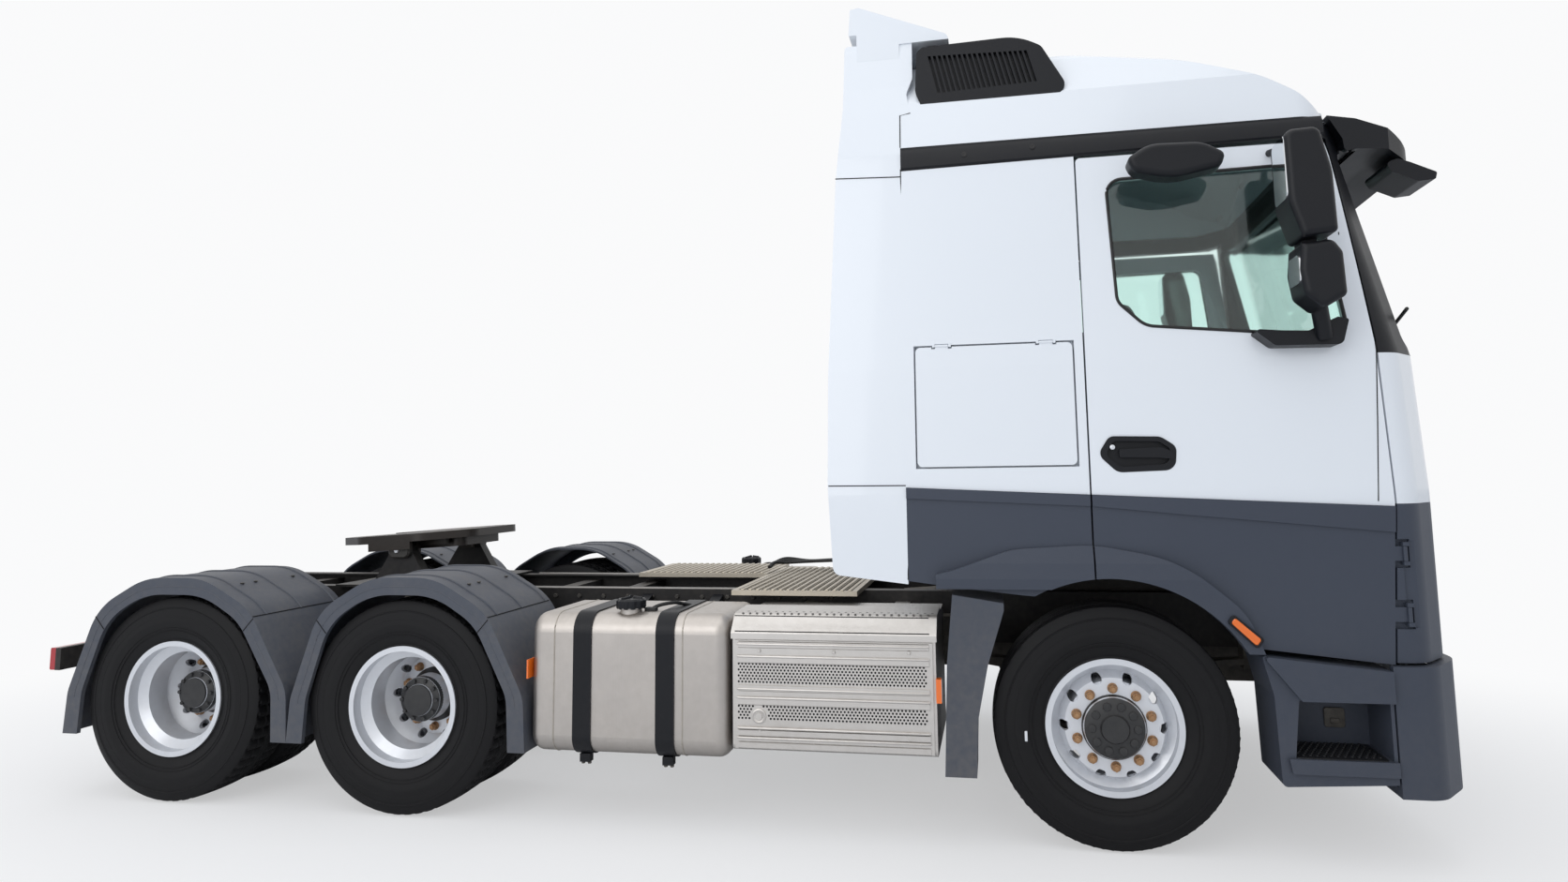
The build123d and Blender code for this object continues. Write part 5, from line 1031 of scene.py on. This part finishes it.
@dataclass
class FrameDress(Dressing):
    """Worn rail edges, bolts, lines, walkway ridges and the coupling's bearing caps."""

    rail: float = 380.0  # outside of a rail's web
    top: float = 1020.0
    bolt_drops: Pair = (45, 215)
    walks: tuple[tuple[float, ...], ...] = (  # rear, front, right and left edge
        (-1900.0, -1215.0, -640.0, 600.0), (-2770.0, -1915.0, 200.0, 820.0))
    start: float = 30.0  # first slot of a walkway
    step: float = 42.0  # from slot to slot
    width: float = 12.0
    loops: Point = (0.0, 22.0, 44.0)
    runs: Point = (-250.0, -210.0, 160.0)
    pivot: Pair = (-4060.0, 1240.0)

    def middle(self) -> None:
        """All of the frame's loose detail."""
        edges = self.pile("rail_worn_edges", "worn_edge")
        bolts = self.pile("rail_bolts", "cast_dark")
        for _, side in SIDES:
            tube(edges, [(x, side * (self.rail - 4), self.top) for x in (-3560, -1920)], 6.0)
            x = np.arange(-5300.0, -1300.0, 150.0)
            for drop in self.bolt_drops:
                spots = np.stack([x, np.full_like(x, self.top - drop)], axis=1)
                bolt_heads(bolts, beside(spots, side * (self.rail + 1)), 1, side, 13, 10)
        self.walkway()
        self.lines()
        self.bearings()

    def walkway(self) -> None:
        """Dark sheets of painted shade in the walkway's slots, and ridges beside them."""
        dark, ridge = self.pile("walkway_slot_shadows", "shadow_gap"), self.pile("walkway_ridges", "tread_plate")
        for rear, front, right, left in self.walks:
            y, wide = (right + left) / 2, left - right
            for x in np.arange(rear + self.start, front - 40, self.step) + self.width / 2:
                # Each dark sheet is painted shade at the bottom of a slot.
                slab(dark, (x, y, self.top + 15), (11.8, wide - 52, 4), 2, 1, 1)
                slab(ridge, (x + self.step / 2, y, self.top + 28), (20, wide - 30, 8), 2, 4, 3)

    def lines(self) -> None:
        """Fixed air and electric lines that loop on the walkway and run down between the rails."""
        pile = self.pile("air_lines", "seal_rubber")
        for add in self.loops:
            tube(pile, smooth_path([
                (-1915, 250 + add, 1080), (-1900, 330 + add, 1100), (-1840, 400 + add, 1095 + add / 2),
                (-1700, 430 + add, 1100), (-1560, 440 + add, 1105), (-1430, 420 + add, 1112),
                (-1330, 380 + add, 1140), (-1270, 340 + add, 1190)]), 11.0)
        for y in self.runs:
            tube(pile, smooth_path([(-3300, y, 930), (-2900, y + 30, 905), (-2500, y - 20, 925),
                                    (-2100, y + 30, 900), (-1700, y, 930), (-1300, y, 915)]), 13.0)

    def bearings(self) -> None:
        """Rounded caps with a bolt at both ends of the coupling's axle."""
        caps = self.pile("coupling_bearing_caps", "cast_dark")
        bolts = self.pile("coupling_bearing_bolts", "wheel_silver")
        x, z = self.pivot
        corners = ((-72, -48, 40), (72, -48, 40), (72, 40, 34), (-72, 40, 34))
        loop = rounded_loop([(x + dx, z + dz, r) for dx, dz, r in corners])
        for _, side in SIDES:
            side_plate(caps, loop, side, 399, 432, 10)
            bolt_heads(bolts, [(x - 8, side * 431, z - 2)], 1, side, 15, 12)


@dataclass
class StepDress(Dressing):
    """Treads of the entry steps with their grip rows, and the latch in the well's back wall."""

    pitch: float = 27.0

    def flank(self, word: str, side: float) -> None:
        """One step."""
        slab(self.pile(f"step_mat_{word}", "black_trim"), (900, side * 1095, 449), (360, 240, 6), 2, 20)
        x, y = np.arange(742.0, 1066.0, self.pitch), np.arange(995.0, 1200.0, self.pitch)
        x, y = np.meshgrid(x, y, indexing="ij")
        x = x + (np.arange(x.shape[1]) % 2)[None, :] * self.pitch / 2
        spots = np.stack([x.ravel(), side * y.ravel(), np.full(x.size, 452.0)], axis=1)
        bolt_heads(self.pile(f"step_studs_{word}", "black_trim"), spots, 2, 1.0, 7, 6)
        latch = self.pile(f"step_latch_{word}", "cast_dark")
        slab(latch, (956, side * 970, 560), (85, 12, 85), 1, 12)
        slab(latch, (956, side * 978, 548), (40, 10, 22), 1, 6)


@dataclass
class FrontDress(Dressing):
    """Wipers, grille slats on the flap and small pale marks on two tyres."""

    wipers: Point = (-560.0, 60.0, 640.0)
    arm: tuple[Pair, ...] = ((0, 2196), (-110, 2226), (-290, 2306))  # sideways and up
    blade: tuple[Pair, ...] = ((-20, 2232), (-260, 2290), (-500, 2356))
    marks: tuple[tuple, ...] = (
        ("front_wheel_right", -383.0, -1170.0, 486.0), ("twin_wheel_1_right", -3322.0, -1196.0, 798.0))

    def middle(self) -> None:
        """The truck's face, then the marks; a wiper's x follows the windscreen's slope."""
        slats = self.pile("flap_grille_slats", "black_trim", "front_flap")
        for z in np.arange(1430.0, 1760.0, 80.0):
            slab(slats, (1406, 0, z), (14, 1300, 40), 0, 16)
        wipers = self.pile("wipers", "seal_rubber", "cab")
        for y in self.wipers:
            for line, lift in ((self.arm, 30.0), (self.blade, 15.0)):
                path = smooth_path([(0, y + dy, z) for dy, z in line])
                path[:, 0] = 1363 - 0.21 * (path[:, 2] - 2200) + lift
                tube(wipers, path, 8.0)
        for body, x, y, z in self.marks:
            slab(self.pile(f"tyre_mark_{body}", "lamp_clear", body), (x, y, z), (12, 3, 45), 1, 3, 1)


@dataclass
class Cushions(Dressing):
    """Seat cushions, backs, head rests and the mattress as crowned pads, softened by a cloth pass."""

    pads: tuple[tuple, ...] = (  # middle, half sizes and lean about y in degrees; mirrored
        ("seat_cushion", (470, 730, 1798), (250, 228, 72), -4.0),
        ("seat_back", (200, 730, 2150), (72, 226, 330), -13.0),
        ("head_rest", (92, 730, 2490), (45, 140, 78), -10.0))
    mattress: tuple = ("mattress", (-455, 0, 2340), (325, 985, 58), 0.0)
    stand: tuple[Pair, ...] = (  # height and growth of each plate
        (1440, 30), (1480, 0), (1560, -10), (1640, 0), (1700, 20))
    steps: int = 14  # grid of a cube's face
    power: float = 7.0  # of the rounded box
    pull: float = 0.06
    swell: float = 0.10
    merge: float = 0.0004  # metres
    fill: float = 0.85
    voxel: float = 0.016  # of the cloth pass, in metres
    cap: float = 0.010  # longest way of a point in the cloth pass, in metres
    pressure: float = 4.0
    frames: int = 20

    def flank(self, word: str, side: float) -> None:
        """One seat; the first pad of all stands for the plain solids of the cab."""
        for name, (x, y, z), half, lean in self.pads:
            pad = self.pad(f"{name}_{word}", (x, side * y, z), half, lean)
            if (name, word) == (self.pads[0][0], SIDES[0][0]):
                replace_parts(pad, "seats_and_bunk")
        stand = self.pile(f"seat_stand_{word}", "black_trim", "cab")
        for z, grow in self.stand:
            slab(stand, (350, side * 730, z), (300 + grow, 380 + grow, 38), 2, 40, 12)

    def middle(self) -> None:
        """The mattress."""
        self.pad(*self.mattress)

    def pad(self, name: str, centre: Point, half: Point, lean: float) -> Piece:
        """One crowned pad: a cube grid pushed onto a rounded box whose faces bulge and whose sides pull in.

        A point of the unit cube p moves to p / |p|_n with a high power n (a rounded box); each face then
        bulges by a tenth times (1 - u^2)(1 - v^2) of its two other coordinates.
        """
        t = np.linspace(-1, 1, self.steps)
        u, v = np.meshgrid(t, t, indexing="ij")
        pile = Pile()
        for axis in range(3):
            for way in (-1.0, 1.0):
                cube = np.empty((self.steps, self.steps, 3))
                cube[..., axis], cube[..., (axis + 1) % 3], cube[..., (axis + 2) % 3] = way, u * way, v
                point = cube / (np.abs(cube) ** self.power).sum(-1, keepdims=True) ** (1 / self.power)
                rest = 1 - point ** 2
                swell = np.stack([rest[..., 1] * rest[..., 2], rest[..., 0] * rest[..., 2],
                                  rest[..., 0] * rest[..., 1]], axis=-1)
                bulge = self.swell * np.clip(swell, 0, 1) * np.sign(point) * (np.abs(point) > 0.6)
                point = point * (1 - self.pull * (1 - np.abs(point[..., ::-1]) ** 2)) + bulge
                pile.grid(point * np.array(half))
        obj = mesh_object(name, np.concatenate(pile.points) / 1000.0, pile.faces)
        shape = bmesh.new()
        shape.from_mesh(obj.data)
        bmesh.ops.recalc_face_normals(shape, faces=shape.faces)
        bmesh.ops.remove_doubles(shape, verts=shape.verts, dist=self.merge)
        bmesh.ops.recalc_face_normals(shape, faces=shape.faces)
        place = Matrix.Translation(to_metres(centre)) @ Matrix.Rotation(math.radians(lean), 4, "Y")
        bmesh.ops.transform(shape, matrix=place, verts=shape.verts)
        shape.to_mesh(obj.data)
        shape.free()
        self.soften(obj)
        level = obj.modifiers.new("round", "SUBSURF")
        level.levels = level.render_levels = 1
        self.palette.dress(obj, "seat_cloth", "seat_fabric")
        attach(obj, "cab")
        return obj

    @classmethod
    def soften(cls, obj: Piece) -> None:
        """Cloth pass: remeshed evenly, pressed out from inside, each point's way capped."""
        scene = bpy.context.scene
        bpy.context.view_layer.objects.active = obj
        even = obj.modifiers.new("even", "REMESH")
        even.mode, even.voxel_size = "VOXEL", cls.voxel
        bpy.ops.object.modifier_apply(modifier=even.name)
        count = len(obj.data.vertices)
        rest, moved = np.empty(count * 3), np.empty(count * 3)
        obj.data.vertices.foreach_get("co", rest)
        cloth = obj.modifiers.new("cloth", "CLOTH")
        cloth.settings.use_pressure = True
        cloth.settings.uniform_pressure_force = cls.pressure
        cloth.settings.effector_weights.gravity = 0.0
        for frame in range(1, cls.frames + 1):
            scene.frame_set(frame)
        bpy.ops.object.modifier_apply(modifier=cloth.name)
        scene.frame_set(1)
        obj.data.vertices.foreach_get("co", moved)
        way = (moved - rest).reshape(-1, 3)
        length = np.linalg.norm(way, axis=1, keepdims=True)
        way *= np.minimum(1.0, cls.cap / np.maximum(length, 1e-9))
        obj.data.vertices.foreach_set("co", (rest.reshape(-1, 3) + way).ravel())
        obj.data.polygons.foreach_set("use_smooth", np.ones(len(obj.data.polygons), dtype=bool))
        obj.data.update()


# --- carried-over pieces, light and camera ---
@dataclass
class CarriedPieces:
    """Gives each kept node its finish, and the rear lamps a red lens."""

    palette: Palette
    nodes: dict[str, Piece]

    STEMS = {  # finish, and the nodes that wear it without their side or number
        "chassis_black": "frame_rails crossmembers air_tanks rear_frame_tubes fifth_wheel_pedestal",
        "cast_dark": "driveline front_axle leaf_springs drive_axles knuckle",
        "tank_aluminium": "fuel_tanks", "strap_black": "tank_straps", "box_steel": "exhaust_box",
        "tread_plate": "catwalk", "guard_grey": "rear_mudguards front_mudguard_tails", "lamp_clear": "lamps",
        "black_trim": "battery_box cab_floor roof_rails_and_visor intake_grilles dashboard door_mirrors",
        "greased_plate": "fifth_wheel_plate", "amber_lens": "side_markers",
        "grey_cladding": "bumper step_boxes cab_side_cladding front_cladding door_cladding",
        "white_paint": "cab_back cab_sides cab_roof cab_front front_flap cab_fairings door stowage_lid",
        "window_glass": "windscreen door_glass", "seat_cloth": "seats_and_bunk",
        "wheel_silver": "front_wheel twin_wheel", "tyre_rubber": "front_tyre twin_tyres",
    }

    def build(self) -> None:
        """Dresses every node; the lamp node's faces behind the truck's middle turn red."""
        finish_of = {stem: finish for finish, stems in self.STEMS.items() for stem in stems.split()}
        for name, obj in self.nodes.items():
            stem = name
            while stem not in finish_of:
                stem = stem.rsplit("_", 1)[0]
            self.palette.dress(obj, finish_of[stem])
        mesh = self.nodes["lamps"].data
        mesh.materials.append(self.palette["red_lens"])
        middles = np.empty(len(mesh.polygons) * 3)
        mesh.polygons.foreach_get("center", middles)
        mesh.polygons.foreach_set("material_index", (middles[::3] < 0).astype(np.int32))
        mesh.update()


@dataclass
class Studio:
    """Pale floor, soft lamps and the camera, in metres.

    Attributes:
        place: Camera place from the front axle.
        turns: Its yaw, pitch and roll in radians.
        focal_px: Focal length in pixels of the picture.
        principal: Principal point in those pixels.
        picture: Width and height of the picture.
        backdrop: Colour that the camera, mirrors and glass see.
        sky: Colour and strength of the light all round.
        lamps: Name, place, aim, size and power of each lamp.
        floor_colour: Colour of the floor where it is lit.
        squeeze: Scale of the floor's fade along the truck.
        fade: Distances where the floor starts to turn into the backdrop, and where it has.
        lift: Share of the backdrop's tone in the floor under the truck, a painted glow that lightens the
            truck's shadow.
    """

    place: Point = (-0.4801, -5.4075, 1.6509)
    turns: Point = (0.1804, 0.1043, 0.0145)
    focal_px: float = 959.67
    principal: Pair = (883.72, 407.55)
    picture: tuple[int, int] = (1672, 941)
    backdrop: tuple[float, ...] = (0.955, 0.958, 0.965, 1.0)
    sky: tuple[tuple[float, ...], float] = ((0.90, 0.94, 1.0, 1.0), 0.66)
    lamps: tuple[tuple[str, Point, Point, float, float], ...] = (
        ("overhead", (-0.5, -2.5, 9.0), (0.0, 0.0, 1.0), 9.0, 188.0),
        ("near_side", (-3.0, -9.0, 4.5), (0.0, 0.0, 1.6), 6.0, 204.0))
    floor_colour: tuple[float, ...] = (0.90, 0.90, 0.905, 1.0)
    squeeze: Point = (0.62, 1.0, 1.0)
    fade: Pair = (1.7, 4.6)
    lift: float = 0.5

    SENSOR, CLIP, REACH = 36.0, (0.1, 200.0), 60.0

    def camera(self) -> None:
        """Camera from a resection: turned about z, then x, then y, with a small lens shift."""
        yaw, pitch, roll = (Matrix.Rotation(turn, 3, axis) for turn, axis in zip(self.turns, "ZXY"))
        right, ahead, up = (yaw @ pitch @ roll).col
        data = bpy.data.cameras.new("camera")
        camera = bpy.data.objects.new("camera", data)
        bpy.context.scene.collection.objects.link(camera)
        grid = Matrix((right, up, -ahead)).transposed().to_4x4()
        grid.translation = (self.place[0] + AXLE_X, self.place[1], self.place[2])
        camera.matrix_world = grid
        width, height = self.picture
        data.sensor_width = self.SENSOR
        data.lens = self.focal_px / width * self.SENSOR
        data.shift_x = (width / 2 - self.principal[0]) / width
        data.shift_y = (self.principal[1] - height / 2) / width
        data.clip_start, data.clip_end = self.CLIP
        bpy.context.scene.camera = camera

    def light(self) -> None:
        """Soft pale world, a broad lamp overhead and one on the camera's side."""
        scene = bpy.context.scene
        scene.view_settings.view_transform = "Standard"
        scene.world = bpy.data.worlds.new("studio")
        scene.world.use_nodes = True
        tree = scene.world.node_tree
        sky = tree.nodes["Background"]
        feed(tree, sky, dict(zip(("Color", "Strength"), self.sky)))
        seen = add_node(tree, "Background", {"Color": self.backdrop})
        path = add_node(tree, "LightPath").outputs
        straight = calc(tree, "ADD", path["Is Camera Ray"], path["Is Transmission Ray"], clamp=True)
        share = calc(tree, "ADD", straight, path["Is Glossy Ray"], clamp=True)
        mix = add_node(tree, "MixShader", {0: share, 1: sky.outputs[0], 2: seen.outputs[0]})
        feed(tree, tree.nodes["World Output"], {0: mix.outputs[0]})
        for name, place, aim, size, power in self.lamps:
            lamp = bpy.data.lights.new(name, "AREA")
            lamp.size, lamp.energy = size, power
            obj = bpy.data.objects.new(name, lamp)
            scene.collection.objects.link(obj)
            obj.location = place
            obj.rotation_euler = (Vector(aim) - Vector(place)).to_track_quat("-Z", "Y").to_euler()

    def floor(self) -> None:
        """Wide pale floor that takes the shadow and fades into the backdrop's tone far out; near the truck a
        painted glow lightens that shadow.
        """
        corners = np.array([(-1, -1, 0), (1, -1, 0), (1, 1, 0), (-1, 1, 0)], float)
        floor = mesh_object("floor", corners * self.REACH, [(0, 1, 2, 3)], smooth=False)
        material = bpy.data.materials.new("studio_floor")
        material.use_nodes = True
        tree = material.node_tree
        shader = tree.nodes["Principled BSDF"]
        feed(tree, shader, {"Base Color": self.floor_colour, "Roughness": 0.95, "Specular IOR Level": 0.0})
        place = add_node(tree, "TexCoord").outputs["Object"]
        place = add_node(tree, "Mapping", {"Vector": place, "Scale": self.squeeze}).outputs[0]
        length = add_node(tree, "VectorMath", {0: place}, operation="LENGTH").outputs["Value"]
        # The lift is a painted glow that lightens the truck's shadow on the floor.
        reach = {"Value": length, "From Min": self.fade[0], "From Max": self.fade[1], "To Min": self.lift}
        spread = add_node(tree, "MapRange", reach, interpolation_type="SMOOTHSTEP")
        glow = add_node(tree, "Emission", {"Color": self.backdrop})
        seen = add_node(tree, "LightPath").outputs["Is Camera Ray"]
        share = calc(tree, "MULTIPLY", spread.outputs["Result"], seen)
        mix = add_node(tree, "MixShader", {0: share, 1: shader.outputs[0], 2: glow.outputs[0]})
        feed(tree, tree.nodes["Material Output"], {"Surface": mix.outputs[0]})
        floor.data.materials.append(material)

    def build(self) -> None:
        """Makes all three."""
        self.camera()
        self.light()
        self.floor()


def main() -> None:
    """Builds the scene in order."""
    logging.basicConfig(level=logging.INFO, format="%(message)s")
    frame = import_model()
    palette = Palette(Effects.build())
    groups = (Wheels, DoorTrim, CabTrim, BoxDress, TankDress, GuardDress, FrameDress, StepDress, FrontDress,
              Cushions)
    for part in (Studio(), CarriedPieces(palette, frame["nodes"]), *(group(palette) for group in groups)):
        part.build()
        LOG.info("built %s", type(part).__name__)


if __name__ == "__main__":
    main()
